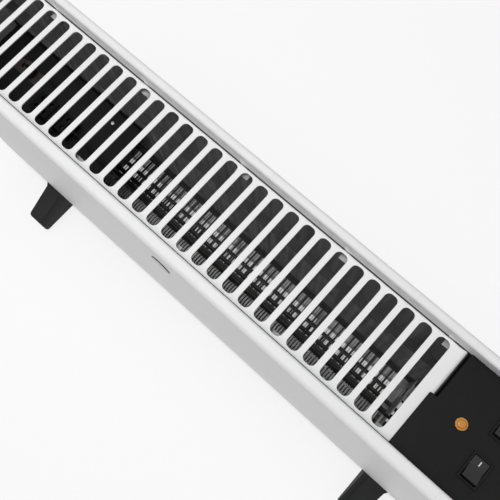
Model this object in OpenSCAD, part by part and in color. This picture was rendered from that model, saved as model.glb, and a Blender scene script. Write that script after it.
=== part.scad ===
// Free-standing electric convector heater with a recessed slotted outlet on top.
// X runs along the heater, the front faces -Y and Z is up.
// The origin lies on the floor below the middle of the case. All sizes are millimetres.

/* [Case] */
// Length over the two end caps
case_len = 720; // [640:10:900]
// Depth from the front face to the rear face
case_depth = 100.5; // [98:0.5:130]
// Height from the bottom edge to the top of the rims
case_height = 365; // [350:5:440]
// Height of the bottom edge above the floor
floor_gap = 35; // [30:1:50]
// Thickness of the coated steel sheet
sheet = 1; // [0.8:0.1:1.4]
// Width of the rim in front of the outlet
front_rim = 10.5; // [9:0.5:14]
// Width of the rim behind the outlet
rear_rim = 7.4; // [6.6:0.2:10]
// Outside radius of the front panel's top bend
front_bend_r = 4.5; // [3:0.5:6]
// Outside radius of the rear panel's top bend
rear_bend_r = 3; // [2.4:0.2:3.6]
// Outside radius of the bends into the recess
recess_bend_r = 2.5; // [2:0.1:2.8]
// Width of the flanges along the bottom edge
bottom_flange = 12; // [10:0.5:16]
// Length of each end cap
cap_depth = 20; // [19:0.5:28]
// Wall of the moulded end caps
cap_wall = 2.5; // [2:0.1:3]

/* [Outlet grille] */
// Depth of the outlet below the rims
recess_depth = 15; // [12:0.5:20]
// Distance between slots
slot_pitch = 15; // [13:0.5:20]
// Width of a slot
slot_w = 10.3; // [8:0.1:11.5]
// Corner radius of a slot
slot_corner_r = 4; // [2.5:0.1:4]
// Plate left in front of and behind the slots
slot_margin = 3.2; // [2.6:0.1:5]
// Depth of the grille's turned-down long edges
grille_edge = 4.3; // [3:0.1:6]
// Radius of the rolled grille ends
grille_roll_r = 5; // [3:0.5:7]
// Gap between the grille and the rims
grille_gap = 0.7; // [0.4:0.1:1]
// Distance between the lugs that carry the grille
lug_pitch = 100.3; // [80:0.1:140]
// Width of a lug
lug_w = 12; // [8:0.5:16]
// How far a lug reaches in from its rim
lug_reach = 7; // [4:0.5:9]

/* [Controls] */
// Length of the control housing on top of the heater
control_len = 130; // [125:1:150]
// Height of the control housing
control_height = 43; // [38:1:60]
// How far the control panel stands above the grille
control_rise = 3; // [2.5:0.1:6]
// Wall of the control housing
control_wall = 2.5; // [2:0.1:3]
// Diameter of the thermostat knob
knob_d = 40; // [34:1:46]
// Height of the thermostat knob
knob_h = 13; // [12:0.5:18]
// Radius of the thermostat spindle
spindle_r = 3; // [2:0.1:3.5]
// Length of a rocker switch bezel
bezel_len = 21; // [21:0.5:24]
// Width of a rocker switch bezel
bezel_w = 15; // [15:0.5:18]
// Angle through which a rocker tips
rocker_throw = 20; // [12:1:22]

/* [Heating elements] */
// Distance from the outlet down to the element frame
element_drop = 230; // [200:5:240]
// Length between the two element brackets
element_len = 390; // [300:10:395]
// How far the middle of the elements lies right of the case's middle
element_shift = 19; // [0:1:19]
// Distance between the windows of the element frame
window_pitch = 7.1; // [6.5:0.1:10]
// Width of a window
window_w = 4.9; // [3.5:0.1:5.5]
// Height of the frame's turned-up sides
frame_side = 28; // [20:1:40]
// Radius of the fins
fin_r = 8.5; // [6:0.5:9]
// Distance between fins
fin_pitch = 2.2; // [2:0.1:6]
// Thickness of a fin
fin_t = 0.5; // [0.4:0.1:1]
// Radius of the finned tube
tube_r = 4; // [3:0.1:4.5]
// Radius of the hairpin rod
rod_r = 2; // [1.5:0.1:2.2]
// Distance between the hairpin's two legs
hairpin_w = 8.5; // [7:0.1:9]

/* [Feet] */
// Distance from the middle of the heater to the middle of each foot
foot_place = 271; // [220:1:285]
// Width of a foot where it leaves the case
foot_w = 42; // [38:1:60]
// Reach of a foot in front of and behind the case
foot_reach = 46.5; // [36:0.5:70]
// Height of the toe of a foot
toe_h = 12; // [10:0.5:18]
// Thickness of a rubber pad
pad_t = 3; // [2:0.5:5]

/* [Cable] */
// Radius of the mains cable's hole
cable_r = 4; // [3:0.1:4.5]

/* [Hidden] */
$fn = 48;
// Overrun of a cut past the face it leaves
over = 0.5;
// Clearance round a screw or a loosely fitted stem
slip = 0.1;
// Running clearance of a spindle, axle or tube in its bore
run_gap = 0.05;
// Gap between pieces that are laid side by side
seam = 0.3;

case_top = floor_gap + case_height;
front_y = -case_depth / 2;
rear_y = case_depth / 2;
panel_half = case_len / 2 - cap_depth;
recess_front = front_y + front_rim;
recess_rear = rear_y - rear_rim;
bottom_bend_r = 3;

grille_z = case_top - recess_depth;
grille_left = -panel_half + seam;
grille_right = panel_half - control_len - grille_gap;
grille_front = recess_front + grille_gap;
grille_back = recess_rear - grille_gap;
grille_bend_r = 1.5;
grille_end_drop = 9;
slot_end_margin = 18.3;
slot_len = grille_back - grille_front - 2 * slot_margin;
slot_y = (grille_front + grille_back) / 2;
slot_span = grille_right - grille_left - 2 * slot_end_margin;
slot_count = floor(slot_span / slot_pitch) + 1;
lug_z = grille_z - grille_edge - sheet;
lug_offset = 4.9;
lug_end_inset = 12.3;
lug_first = ceil((grille_left + lug_w - lug_offset) / lug_pitch);
lug_last = floor((grille_right - lug_end_inset - 2 * lug_w - lug_offset) / lug_pitch);
lug_places = concat(
    [for (k = [lug_first:lug_last]) lug_offset + k * lug_pitch],
    [grille_right - lug_end_inset]
);

cap_top_bottom = lug_z - sheet;
cap_edge_r = 4;
strap_len = 10;
strap_t = 2;
strap_low_gap = 25;
strap_top_gap = 12;
strap_low = floor_gap + strap_low_gap;
strap_high = lug_z - strap_top_gap;
grip_len = 64;
grip_h = 26;
grip_depth = 14;
grip_corner_r = 8;
grip_height_share = 0.75;
grip_z = floor_gap + case_height * grip_height_share;

screw_r = 2;
screw_head_r = 3.8;
screw_head_h = 2.2;
screw_len = 7;
case_screw_zs = [strap_low + screw_len, strap_high - screw_len];
case_screw_x = panel_half - strap_len / 2;

inlet_rows = 8;
inlet_row_pitch = 8;
inlet_slot_h = 5;
inlet_slot_len = 60;
inlet_rib = 5;
inlet_low_gap = 8;
inlet_low = floor_gap + inlet_low_gap;
flange_slot_w = 6;
flange_slot_inset = 6.5;

base_overlap = 1.75;
base_half = case_depth / 2 - bottom_flange + base_overlap;
base_slot_w = 7.6;
base_slot_pitch = 10;
base_margin = 2.5;
base_end = 14;

shield_gap = 8;
shield_t = 0.8;
shield_face = case_depth / 2 - sheet - shield_gap;
shield_drop = 109;
shield_top = grille_z - shield_drop;

frame_z = grille_z - element_drop;
frame_t = 1;
shield_under = 3;
shield_low = frame_z - shield_under;
frame_over = 4;
element_mid = element_shift;
bracket_t = 1.2;
bracket_h = 44;
bracket_foot = 8;
bracket_left = element_mid - element_len / 2;
bracket_right = element_mid + element_len / 2;
element_clear = 3;
fin_axis_y = -9.5;
fin_axis_z = frame_z + frame_t + element_clear + fin_r;
fin_end_gap = 6;
tube_over = 8;
stud_r = 1.5;
stud_len = 6;
hairpin_y = 6;
hairpin_z = frame_z + frame_t + element_clear + rod_r;
hairpin_over = 14;
hairpin_bend_over = 4;
hairpin_left = bracket_left - hairpin_over;
hairpin_bend_x = bracket_right + hairpin_bend_over;
bush_r = 7;
bush_collar_r = 9;
bush_collar_t = 2;
bracket_window_r = 2;
bracket_window_place_share = 0.65;
bracket_window_w_share = 0.3;
bracket_window_h_share = 0.5;
// Front and back edges of the rows of windows, as shares of half the frame's width
window_row_shares = [
    [-0.98, -0.53], [-0.40, -0.07], [0.095, 0.125], [0.17, 0.20], [0.313, 0.453], [0.516, 0.98]
];

partition_inset = 104;
partition_x = panel_half - partition_inset;
partition_top = grille_z + control_rise - control_height - seam;
partition_hole_r = 7;
inlet_end_gap = 10;
inlet_column_pitch = inlet_slot_len + inlet_rib;
inlet_columns = floor((2 * (partition_x - inlet_end_gap) + inlet_rib) / inlet_column_pitch);

control_top = grille_z + control_rise;
control_low = control_top - control_height;
control_left = grille_right + grille_gap;
control_right = panel_half - seam;
control_front = recess_front + seam;
control_back = recess_rear - seam;
control_lip = 5.7;
control_lip_offset = 3.4;
control_lip_back = slot_y + control_lip_offset;
knob_inset = 40;
knob_x = panel_half - knob_inset;
knob_y = (control_front + control_back) / 2;
knob_gap = 0.3;
knob_skirt = 1.5;
knob_dish_r = 9;
knob_dish_h = 4.7;
knob_cap = 2;
knob_grip_w = 9;
knob_grip_h = 5;
knob_flute_r = 1.4;
knob_flutes = 30;
pointer_w = 1.6;
pointer_h = 0.4;
pointer_start_share = 0.4;
stat_len = 34;
stat_w = 26;
stat_h = 18;
neck_r = 5;
neck_h = 5.5;
nut_r = 7.5;
nut_h = 2.5;
spindle_in = 9;
switch_inset = 46;
switch_x = control_left + switch_inset;
switch_offset = 17;
switch_wall = 0.7;
bezel_t = 1.5;
bezel_lip = 1;
switch_h = 18;
rocker_gap = 0.3;
rocker_pivot_drop = 2;
axle_r = 1.2;
axle_in = 0.5;
rocker_well = 7;
rocker_top = 4.6;
rocker_dip = 2.4;
rocker_base = 2.6;
tab_w = 4.8;
tab_t = 0.8;
tab_len = 8;
lens_inset = 22;
lens_x = control_left + lens_inset;
lens_r = 3;
lens_flange_r = 4.2;
lens_flange_t = 1;
lens_len = 9;

tray_end_gap = 15;
tray_over = 40;
tray_drop = 145;
tray_left = -panel_half + tray_end_gap;
tray_right = bracket_left + tray_over;
tray_z = grille_z - tray_drop;
tray_front = -30;
tray_side = 12;
block_inset = 39;
block_x = bracket_left - block_inset;
block_y = -6;
block_len = 48;
block_w = 20;
block_h = 16;
block_ways = 4;
block_groove_share = 0.6;
block_screw_r = 2.2;
block_screw_deep = 6;
cutout_inset = 50;
cutout_x = tray_left + cutout_inset;
cutout_y = 12;
cutout_r = 8;
cutout_h = 9;
cutout_plate_len = 32;
cutout_plate_w = 14;
cutout_plate_r = 2;

gland_inset = 50;
gland_rise = 45;
gland_x = panel_half - gland_inset;
gland_z = floor_gap + gland_rise;
gland_r = 7;
gland_flange_r = 10;
gland_flange_t = 3;
gland_in = 12;
gland_nut_t = 4;

foot_taper_share = 0.26;
foot_tip_r = 4;
foot_wall = 4;
foot_crease = 7;
foot_crease_drop = 2.5;
foot_rib = 6;
foot_ceiling = 3;
foot_toe_r = 5;
pad_len = 22;
pad_w = 22;
pad_inset = 8;
foot_screw_offset = 1.2;
foot_screw_y = case_depth / 2 - bottom_flange / 2 - foot_screw_offset;
foot_tip_y = case_depth / 2 + foot_reach;
pad_x = foot_place - foot_w * foot_taper_share / 2;
pad_y = foot_tip_y - pad_inset - pad_len / 2;

wire_r = 1.6;
loom_r = 3;
wire_sides = 8;
// Ends of the wires, a seam away from what they join
loom_start_offset = [-8, -23.55, -7];
loom_start = [knob_x, knob_y, control_low] + loom_start_offset;
loom_end = [block_x + block_len / 2 + seam, block_y, tray_z + sheet + block_h / 2];
block_wire_rise = 5;
block_wire_z = tray_z + sheet + block_wire_rise;
block_front = block_y - block_w / 2 - seam;
block_back = block_y + block_w / 2 + seam;
block_way_xs = [for (k = [0:block_ways - 1]) block_x + (k - (block_ways - 1) / 2) * block_len / block_ways];
fin_left_end = [bracket_left - tube_over - stud_len - seam, fin_axis_y, fin_axis_z];
fin_right_end = [bracket_right + tube_over + stud_len + seam, fin_axis_y, fin_axis_z];
hairpin_end_x = hairpin_left - stud_len - seam;
cutout_end = [cutout_x + cutout_r / 2, cutout_y, tray_z + sheet + cutout_h + tab_len / 2 + seam];
return_end_offset = [14, -1, -2];
// Each wire's route is given by shares of the way between its two ends, and by the offset
// of each point from that straight line
// Loom from the control housing to the terminal block
loom_shares = [
    0, 0.04, 0.08, 0.13, 0.2, 0.31, 0.43, 0.55, 0.67, 0.79, 0.89, 0.95, 0.97, 0.99, 1
];
loom_offsets = [
    [0, 0, 0], [3.3, 0.4, -12.4], [2.6, 2.7, -22.9], [6.8, 3.9, -28.4], [4.5, 3.8, -33.2],
    [7.6, 3, -34.4], [5.6, 2.1, -31.7], [3.5, 0.2, -25.1], [1.4, -1.7, -16.4], [-0.7, -2.6, -6.7],
    [-2.4, -2.2, -0.8], [0.6, -0.7, -0.9], [-1.8, 0.5, -2.2], [0.9, 0.2, -0.9], [0, 0, 0]
];
// Wire from the terminal block down to the finned element
fin_wire_shares = [
    0, 0, 0, 0.01, 0.13, 0.32, 0.55, 0.75, 0.9, 0.97, 0.99, 1
];
fin_wire_offsets = [
    [0, 0, 0], [0, -3.7, 0], [0, -10.7, 1.5], [0.3, -16.8, -1.2], [-0.9, -21.1, -1.8],
    [-3, -22.9, -2.9], [-5.3, -20.4, -2.8], [-6.5, -13.8, -3.1], [-7.3, -5.8, -2.3], [-7.1, -1.3, -1.6],
    [-3.5, 0.1, -0.8], [0, 0, 0]
];
// Wires from the terminal block down to the two ends of the hairpin element
near_hairpin_wire_shares = [
    0, 0, 0, 0, 0.08, 0.27, 0.5, 0.7, 0.87, 0.95, 0.98, 1
];
near_hairpin_wire_offsets = [
    [0, 0, 0], [0, -3.7, 0], [0, -10.7, 1.5], [0, -16.7, -2], [-1.5, -21.6, -5.2], [-4.7, -25.6, -7.1],
    [-8.3, -24.7, -7.5], [-10.8, -18.3, -7.5], [-11.5, -9.4, -5.1], [-9.5, -1.8, -3.2],
    [-6.2, 0.4, -1.7], [0, 0, 0]
];
far_hairpin_wire_shares = [
    0, 0, 0, 0, 0.05, 0.23, 0.45, 0.66, 0.83, 0.92, 0.96, 1
];
far_hairpin_wire_offsets = [
    [0, 0, 0], [0, -3.7, 0], [0, -10.7, 1.5], [0, -16.7, -2], [-1.3, -21.5, -7.8], [-6.4, -26.8, -11.4],
    [-12, -26.6, -13.8], [-16.2, -20.2, -12.9], [-17.5, -8.7, -9.9], [-13.8, -1.1, -6.3],
    [-8.2, 1.1, -3.4], [0, 0, 0]
];
// Wire that brings the finned element's right end back into the loom's hole
return_wire_shares = [
    0, 0, 0.02, 0.05, 0.18, 0.36, 0.55, 0.72, 0.84, 0.9, 0.94, 0.96, 0.98, 1
];
return_wire_offsets = [
    [0, 0, 0], [1.2, 0, 0], [2.6, 0.1, -0.3], [2.8, -0.1, 0.1], [0.3, -0.2, -0.6], [-3.7, 0.2, 1.2],
    [-8, 0.6, 1.8], [-12.1, 0.9, 2], [-15.2, 0.8, 2.6], [-16.4, 0.2, 2.9], [-16.1, -0.1, 2.7],
    [-13.1, -0.2, 2.3], [-7.6, -0.1, 1.1], [0, 0, 0]
];
// Wire from the terminal block to the thermal cut-out
cutout_wire_shares = [
    0, 0.01, 0.12, 0.31, 0.54, 0.77, 0.93, 1, 1, 1
];
cutout_wire_offsets = [
    [0, 0, 0], [0.4, 2.6, -0.1], [1.6, 6.8, 1], [2.8, 9.3, 4.4], [3.5, 8.5, 8.5], [3.3, 4.8, 10.6],
    [2.3, 1.5, 9.3], [1, 0, 5.7], [0, 0, 3], [0, 0, 0]
];
loom_route = route(loom_start, loom_end, loom_shares, loom_offsets);
// Where the loom passes the partition
loom_pass = [partition_x, loom_route[3][1], loom_route[3][2]];
return_end = loom_pass + return_end_offset;

// Turns an outline drawn in Y and Z into a solid that runs along X from x0 to x1
module along_x(x0, x1) {
    translate([x0, 0, 0]) rotate([90, 0, 90]) linear_extrude(x1 - x0) children();
}

// Turns an outline drawn in X and Z into a solid that runs along Y from y0 to y1
module along_y(y0, y1) {
    translate([0, y1, 0]) rotate([90, 0, 0]) linear_extrude(y1 - y0) children();
}

// A box between two corners
module block(low, high) {
    translate(low) cube(high - low);
}

// A quarter bend of sheet, with its outside up and to the left
module bend(r, t) {
    intersection() {
        difference() {
            circle(r);
            circle(r - t);
        }
        translate([-r, 0]) square(r);
    }
}

// A rectangle with round corners about the origin
module round_rect(w, h, r) {
    square([w - 2 * r, h], center = true);
    square([w, h - 2 * r], center = true);
    for (sx = [-1, 1], sy = [-1, 1]) translate([sx * (w / 2 - r), sy * (h / 2 - r)]) circle(r);
}

// Section of a case panel, drawn as a front panel whose outer face lies at zero
module panel_section(rim, outer_r) {
    translate([0, floor_gap + bottom_bend_r]) square([sheet, case_height - outer_r - bottom_bend_r]);
    translate([outer_r, case_top - outer_r]) bend(outer_r, sheet);
    translate([outer_r, case_top - sheet]) square([rim - outer_r - recess_bend_r, sheet]);
    translate([rim - recess_bend_r, case_top - recess_bend_r]) mirror([1, 0]) bend(recess_bend_r, sheet);
    translate([rim - sheet, lug_z]) square([sheet, case_top - recess_bend_r - lug_z]);
    translate([bottom_bend_r, floor_gap + bottom_bend_r]) mirror([0, 1]) bend(bottom_bend_r, sheet);
    translate([bottom_bend_r, floor_gap]) square([bottom_flange - bottom_bend_r, sheet]);
}

// Lugs that carry the grille, pointing along +Y from a rim whose inner face lies at zero
module lugs() {
    for (x = lug_places) block([x - lug_w / 2, -sheet, lug_z], [x + lug_w / 2, lug_reach, lug_z + sheet]);
}

module foot_screw_holes() {
    for (sx = [-1, 1], sy = [-1, 1])
        translate([sx * foot_place, sy * foot_screw_y, floor_gap - over])
            cylinder(r = screw_r + slip, h = sheet + 2 * over);
}

// Middles of the columns of air slots
module inlet_places() {
    for (k = [0:inlet_columns - 1])
        translate([(k - (inlet_columns - 1) / 2) * inlet_column_pitch, 0, 0]) children();
}

// Air slots in the flanges along the bottom edge
module flange_slots() {
    for (sy = [-1, 1])
        inlet_places() translate([0, sy * (case_depth / 2 - flange_slot_inset), floor_gap - over])
            linear_extrude(sheet + 2 * over) square([inlet_slot_len, flange_slot_w], center = true);
}

// Rows of air slots low in the rear panel
module inlet_slots() {
    for (row = [0:inlet_rows - 1])
        inlet_places() along_y(rear_y - sheet - over, rear_y + over)
            translate([0, inlet_low + row * inlet_row_pitch + inlet_slot_h / 2])
                round_rect(inlet_slot_len, inlet_slot_h, inlet_slot_h / 2 - slip);
}

module front_panel() {
    color("white") difference() {
        union() {
            along_x(-panel_half, panel_half) translate([front_y, 0]) panel_section(front_rim, front_bend_r);
            translate([0, recess_front, 0]) lugs();
        }
        foot_screw_holes();
        flange_slots();
    }
}

module case_screw_places() {
    for (sx = [-1, 1], z = case_screw_zs)
        translate([sx * case_screw_x, rear_y, z]) rotate([90, 0, 0]) children();
}

module rear_panel() {
    color("white") difference() {
        union() {
            along_x(-panel_half, panel_half)
                translate([rear_y, 0]) mirror([1, 0]) panel_section(rear_rim, rear_bend_r);
            translate([0, recess_rear, 0]) mirror([0, 1, 0]) lugs();
        }
        foot_screw_holes();
        flange_slots();
        inlet_slots();
        case_screw_holes();
        translate([gland_x, rear_y + over, gland_z]) rotate([90, 0, 0])
            cylinder(r = gland_r + slip, h = sheet + 2 * over);
    }
}

module case_screw_holes() {
    translate([0, over, 0]) case_screw_places() cylinder(r = screw_r + slip, h = sheet + strap_t + 2 * over);
}

// Outer form of an end cap that closes the right end
module cap_form() {
    inner = panel_half;
    outer = case_len / 2;
    intersection() {
        along_x(inner, outer) union() {
            translate([front_y, floor_gap + cap_edge_r])
                square([case_depth, case_height - cap_edge_r - front_bend_r]);
            translate([front_y + cap_edge_r, floor_gap])
                square([case_depth - 2 * cap_edge_r, cap_edge_r + over]);
            for (sy = [-1, 1]) translate([sy * (case_depth / 2 - cap_edge_r), floor_gap + cap_edge_r])
                circle(cap_edge_r);
            translate([front_y + front_bend_r, case_top - front_bend_r - over])
                square([case_depth - 2 * front_bend_r, front_bend_r + over]);
            for (sy = [-1, 1]) translate([sy * (case_depth / 2 - front_bend_r), case_top - front_bend_r])
                circle(front_bend_r);
        }
        translate([0, 0, floor_gap]) linear_extrude(case_height) union() {
            translate([inner, front_y]) square([cap_depth - cap_edge_r, case_depth]);
            translate([inner, front_y + cap_edge_r]) square([cap_depth, case_depth - 2 * cap_edge_r]);
            for (sy = [-1, 1]) translate([outer - cap_edge_r, sy * (case_depth / 2 - cap_edge_r)])
                circle(cap_edge_r);
        }
        along_y(front_y, rear_y) union() {
            translate([inner, floor_gap]) square([cap_depth - cap_edge_r, case_height]);
            translate([inner, floor_gap + cap_edge_r]) square([cap_depth, case_height - 2 * cap_edge_r]);
            for (z = [floor_gap + cap_edge_r, case_top - cap_edge_r]) translate([outer - cap_edge_r, z])
                circle(cap_edge_r);
        }
    }
}

module end_cap() {
    inner = panel_half;
    outer = case_len / 2;
    difference() {
        union() {
            difference() {
                cap_form();
                block([inner - over, front_y + cap_wall, floor_gap + cap_wall],
                    [outer - cap_wall, rear_y - cap_wall, cap_top_bottom]);
            }
            along_x(outer - grip_depth - cap_wall, outer - cap_wall / 2) translate([0, grip_z])
                round_rect(grip_len + 2 * cap_wall, grip_h + 2 * cap_wall, grip_corner_r + cap_wall);
            for (y = [front_y + sheet, rear_y - sheet - strap_t])
                block([inner - strap_len, y, strap_low], [inner, y + strap_t, strap_high]);
            for (sy = [0, 1]) mirror([0, sy, 0])
                block([inner, rear_y - cap_wall - sheet, strap_low], [inner + cap_wall, rear_y, strap_high]);
        }
        along_x(outer - grip_depth, outer + over) translate([0, grip_z])
            round_rect(grip_len, grip_h, grip_corner_r);
        case_screw_holes();
    }
}

module left_end_cap() {
    color("whitesmoke") mirror([1, 0, 0]) end_cap();
}

module right_end_cap() {
    color("whitesmoke") end_cap();
}

module outlet_grille() {
    plate_left = grille_left + grille_roll_r;
    plate_right = grille_right - grille_roll_r;
    plate_front = grille_front + grille_bend_r;
    plate_back = grille_back - grille_bend_r;
    color("white") {
        translate([0, 0, grille_z - sheet]) linear_extrude(sheet) difference() {
            translate([plate_left, plate_front]) square([plate_right - plate_left, plate_back - plate_front]);
            for (k = [0:slot_count - 1])
                translate([grille_right - slot_end_margin - k * slot_pitch, slot_y])
                    round_rect(slot_w, slot_len, slot_corner_r);
        }
        along_x(plate_left, plate_right) {
            translate([plate_front, grille_z - grille_bend_r]) bend(grille_bend_r, sheet);
            translate([grille_front, grille_z - grille_edge]) square([sheet, grille_edge - grille_bend_r]);
            translate([plate_back, grille_z - grille_bend_r]) mirror([1, 0]) bend(grille_bend_r, sheet);
            translate([grille_back - sheet, grille_z - grille_edge])
                square([sheet, grille_edge - grille_bend_r]);
        }
        along_y(grille_front, grille_back) {
            translate([plate_left, grille_z - grille_roll_r]) bend(grille_roll_r, sheet);
            translate([grille_left, grille_z - grille_end_drop])
                square([sheet, grille_end_drop - grille_roll_r]);
            translate([plate_right, grille_z - grille_roll_r]) mirror([1, 0]) bend(grille_roll_r, sheet);
            translate([grille_right - sheet, grille_z - grille_end_drop])
                square([sheet, grille_end_drop - grille_roll_r]);
        }
        for (x = [plate_left - over, plate_right])
            block([x, plate_front, grille_z - sheet], [x + over, plate_back, grille_z]);
    }
}

module base_grille() {
    base_slots = floor((2 * panel_half - 2 * base_end) / base_slot_pitch);
    color("dimgray") translate([0, 0, floor_gap + sheet]) linear_extrude(sheet) difference() {
        translate([-panel_half + seam, -base_half]) square([2 * (panel_half - seam), 2 * base_half]);
        for (k = [0:base_slots - 1])
            translate([(k - (base_slots - 1) / 2) * base_slot_pitch, 0])
                square([base_slot_w, 2 * (base_half - base_margin)], center = true);
    }
}

module left_foot() {
    color([0.12, 0.12, 0.12]) translate([-foot_place, 0, 0]) foot();
}

module right_foot() {
    color([0.12, 0.12, 0.12]) translate([foot_place, 0, 0]) mirror([1, 0, 0]) foot();
}

// Plan of the rear half of a foot, with the slanted flank at the left and the straight one at the right
module foot_plan() {
    taper = foot_w * foot_taper_share;
    polygon([
        [-foot_w / 2, 0], [foot_w / 2, 0], [foot_w / 2, foot_tip_y - foot_tip_r],
        [foot_w / 2 - foot_tip_r, foot_tip_y], [-foot_w / 2 + taper + foot_tip_r, foot_tip_y],
        [-foot_w / 2 + taper, foot_tip_y - foot_tip_r], [-foot_w / 2, case_depth / 2]
    ]);
    translate([foot_w / 2 - foot_tip_r, foot_tip_y - foot_tip_r]) circle(foot_tip_r);
    translate([-foot_w / 2 + taper + foot_tip_r, foot_tip_y - foot_tip_r]) circle(foot_tip_r);
}

// Side view of the rear half of a foot in Y and Z
module foot_side() {
    edge = case_depth / 2;
    polygon([
        [0, pad_t], [foot_tip_y, pad_t], [foot_tip_y, pad_t + toe_h - foot_toe_r],
        [foot_tip_y - foot_toe_r, pad_t + toe_h], [edge + foot_wall, floor_gap - foot_ceiling],
        [edge, floor_gap - foot_ceiling], [edge, floor_gap], [0, floor_gap]
    ]);
    translate([foot_tip_y - foot_toe_r, pad_t + toe_h - foot_toe_r]) circle(foot_toe_r);
}

// The rear half of a foot as a solid block
module foot_half() {
    intersection() {
        translate([0, 0, pad_t]) linear_extrude(floor_gap - pad_t) foot_plan();
        along_x(-foot_w / 2, foot_w / 2) foot_side();
    }
}

module foot() {
    edge = case_depth / 2;
    slope = atan2(floor_gap - foot_ceiling - pad_t - toe_h, foot_reach - foot_wall - foot_toe_r);
    difference() {
        union() {
            foot_half();
            mirror([0, 1, 0]) foot_half();
        }
        for (sy = [0, 1]) mirror([0, sy, 0])
            translate([foot_w / 2 - foot_crease, -edge - foot_wall, floor_gap - foot_ceiling])
                rotate([slope, 0, 0]) rotate([0, atan2(foot_crease_drop, foot_crease), 0])
                    translate([-foot_w, -2 * foot_reach, 0]) cube([2 * foot_w, 2 * foot_reach, floor_gap]);
        for (sy = [-1, 1]) {
            near = sy * foot_rib / 2;
            far = sy * (edge - foot_wall / 2);
            block([-foot_w / 2 + foot_wall, min(near, far), pad_t - over],
                [foot_w / 2 - foot_wall, max(near, far), floor_gap - foot_ceiling]);
            translate([0, sy * foot_screw_y, floor_gap - foot_ceiling - over])
                cylinder(r = screw_r + slip, h = foot_ceiling + 2 * over);
        }
    }
}

module foot_pads() {
    color([0.05, 0.05, 0.05])
        for (sx = [-1, 1], sy = [-1, 1])
            translate([sx * pad_x, sy * pad_y, 0])
                linear_extrude(pad_t) round_rect(pad_w, pad_len, foot_tip_r);
}

// A pan-head screw along +Z whose head sits below zero
module screw() {
    cylinder(r = screw_r, h = screw_len);
    intersection() {
        translate([0, 0, -screw_head_h]) cylinder(r = screw_head_r, h = screw_head_h);
        translate([0, 0, screw_head_r]) sphere(screw_head_r + screw_head_h);
    }
}

module foot_screws() {
    color("silver")
        for (sx = [-1, 1], sy = [-1, 1])
            translate([sx * foot_place, sy * foot_screw_y, floor_gap - foot_ceiling]) screw();
}

module case_screws() {
    color("silver") case_screw_places() screw();
}

// Heat shield in front of the rear panel, with its flanges turned back to the panel
module shield() {
    along_x(-panel_half + strap_len + seam, partition_x - seam) {
        translate([shield_face, shield_low]) square([shield_t, shield_top - shield_low]);
        for (z = [shield_low, shield_top - shield_t])
            translate([shield_face, z]) square([rear_y - sheet - shield_face, shield_t]);
    }
}

module rear_heat_shield() {
    color("gray") shield();
}

module front_heat_shield() {
    color("gray") mirror([0, 1, 0]) shield();
}

module element_frame() {
    left = bracket_left - frame_over;
    right = bracket_right + frame_over;
    windows = floor((element_len - window_pitch) / window_pitch);
    color([0.2, 0.2, 0.2]) {
        translate([0, 0, frame_z]) linear_extrude(frame_t) difference() {
            translate([left, -shield_face]) square([right - left, 2 * shield_face]);
            for (k = [0:windows - 1], row = window_row_shares)
                translate([element_mid + (k - (windows - 1) / 2) * window_pitch - window_w / 2,
                    row[0] * (shield_face - frame_t)])
                    square([window_w, (row[1] - row[0]) * (shield_face - frame_t)]);
        }
        for (y = [-shield_face, shield_face - frame_t])
            block([left, y, frame_z + frame_t - over], [right, y + frame_t, frame_z + frame_side]);
    }
}

// Radius profile of the finned tube along its length, as an outline for a revolve
function fin_points(n, start) = [
    for (k = [0:n - 1])
        each [
            [tube_r, start + k * fin_pitch], [fin_r, start + k * fin_pitch],
            [fin_r, start + k * fin_pitch + fin_t], [tube_r, start + k * fin_pitch + fin_t]
        ]
];

module finned_element() {
    fins = floor((element_len - 2 * fin_end_gap) / fin_pitch);
    start = tube_over + fin_end_gap + bracket_t;
    whole = element_len + 2 * tube_over;
    color("silver") translate([bracket_left - tube_over, fin_axis_y, fin_axis_z]) rotate([0, 90, 0])
        rotate_extrude() polygon(concat(
            [[0, -stud_len], [stud_r, -stud_len], [stud_r, 0], [tube_r, 0]],
            fin_points(fins, start),
            [[tube_r, whole], [stud_r, whole], [stud_r, whole + stud_len], [0, whole + stud_len]]
        ));
}

module hairpin_element() {
    color("silver") {
        for (sy = [-1, 1])
            translate([hairpin_left, hairpin_y + sy * hairpin_w / 2, hairpin_z]) rotate([0, 90, 0]) {
                cylinder(r = rod_r, h = hairpin_bend_x - hairpin_left);
                translate([0, 0, -stud_len]) cylinder(r = stud_r - slip, h = stud_len);
            }
        translate([hairpin_bend_x, hairpin_y, hairpin_z]) rotate([0, 0, -90])
            rotate_extrude(angle = 180) translate([hairpin_w / 2, 0]) circle(rod_r);
    }
}

// Bracket that holds the elements, with its foot turned along +X
module element_bracket() {
    half = shield_face - frame_t - seam;
    base = frame_z + frame_t;
    hole_w = half * bracket_window_w_share;
    hole_h = bracket_h * bracket_window_h_share;
    difference() {
        union() {
            block([0, -half, base], [bracket_t, half, base + bracket_h]);
            block([0, -half, base], [bracket_foot, half, base + bracket_t]);
        }
        translate([-over, fin_axis_y, fin_axis_z]) rotate([0, 90, 0])
            cylinder(r = bush_r + run_gap, h = bracket_t + 2 * over);
        for (sy = [-1, 1]) translate([-over, hairpin_y + sy * hairpin_w / 2, hairpin_z]) rotate([0, 90, 0])
            cylinder(r = rod_r + slip, h = bracket_t + 2 * over);
        for (sy = [-1, 1]) along_x(-over, bracket_t + over)
            translate([sy * half * bracket_window_place_share, base + bracket_h / 2])
                round_rect(hole_w, hole_h, bracket_window_r);
    }
}

module left_element_bracket() {
    color("lightgray") translate([bracket_left, 0, 0]) element_bracket();
}

module right_element_bracket() {
    color("lightgray") translate([bracket_right, 0, 0]) mirror([1, 0, 0]) element_bracket();
}

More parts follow.
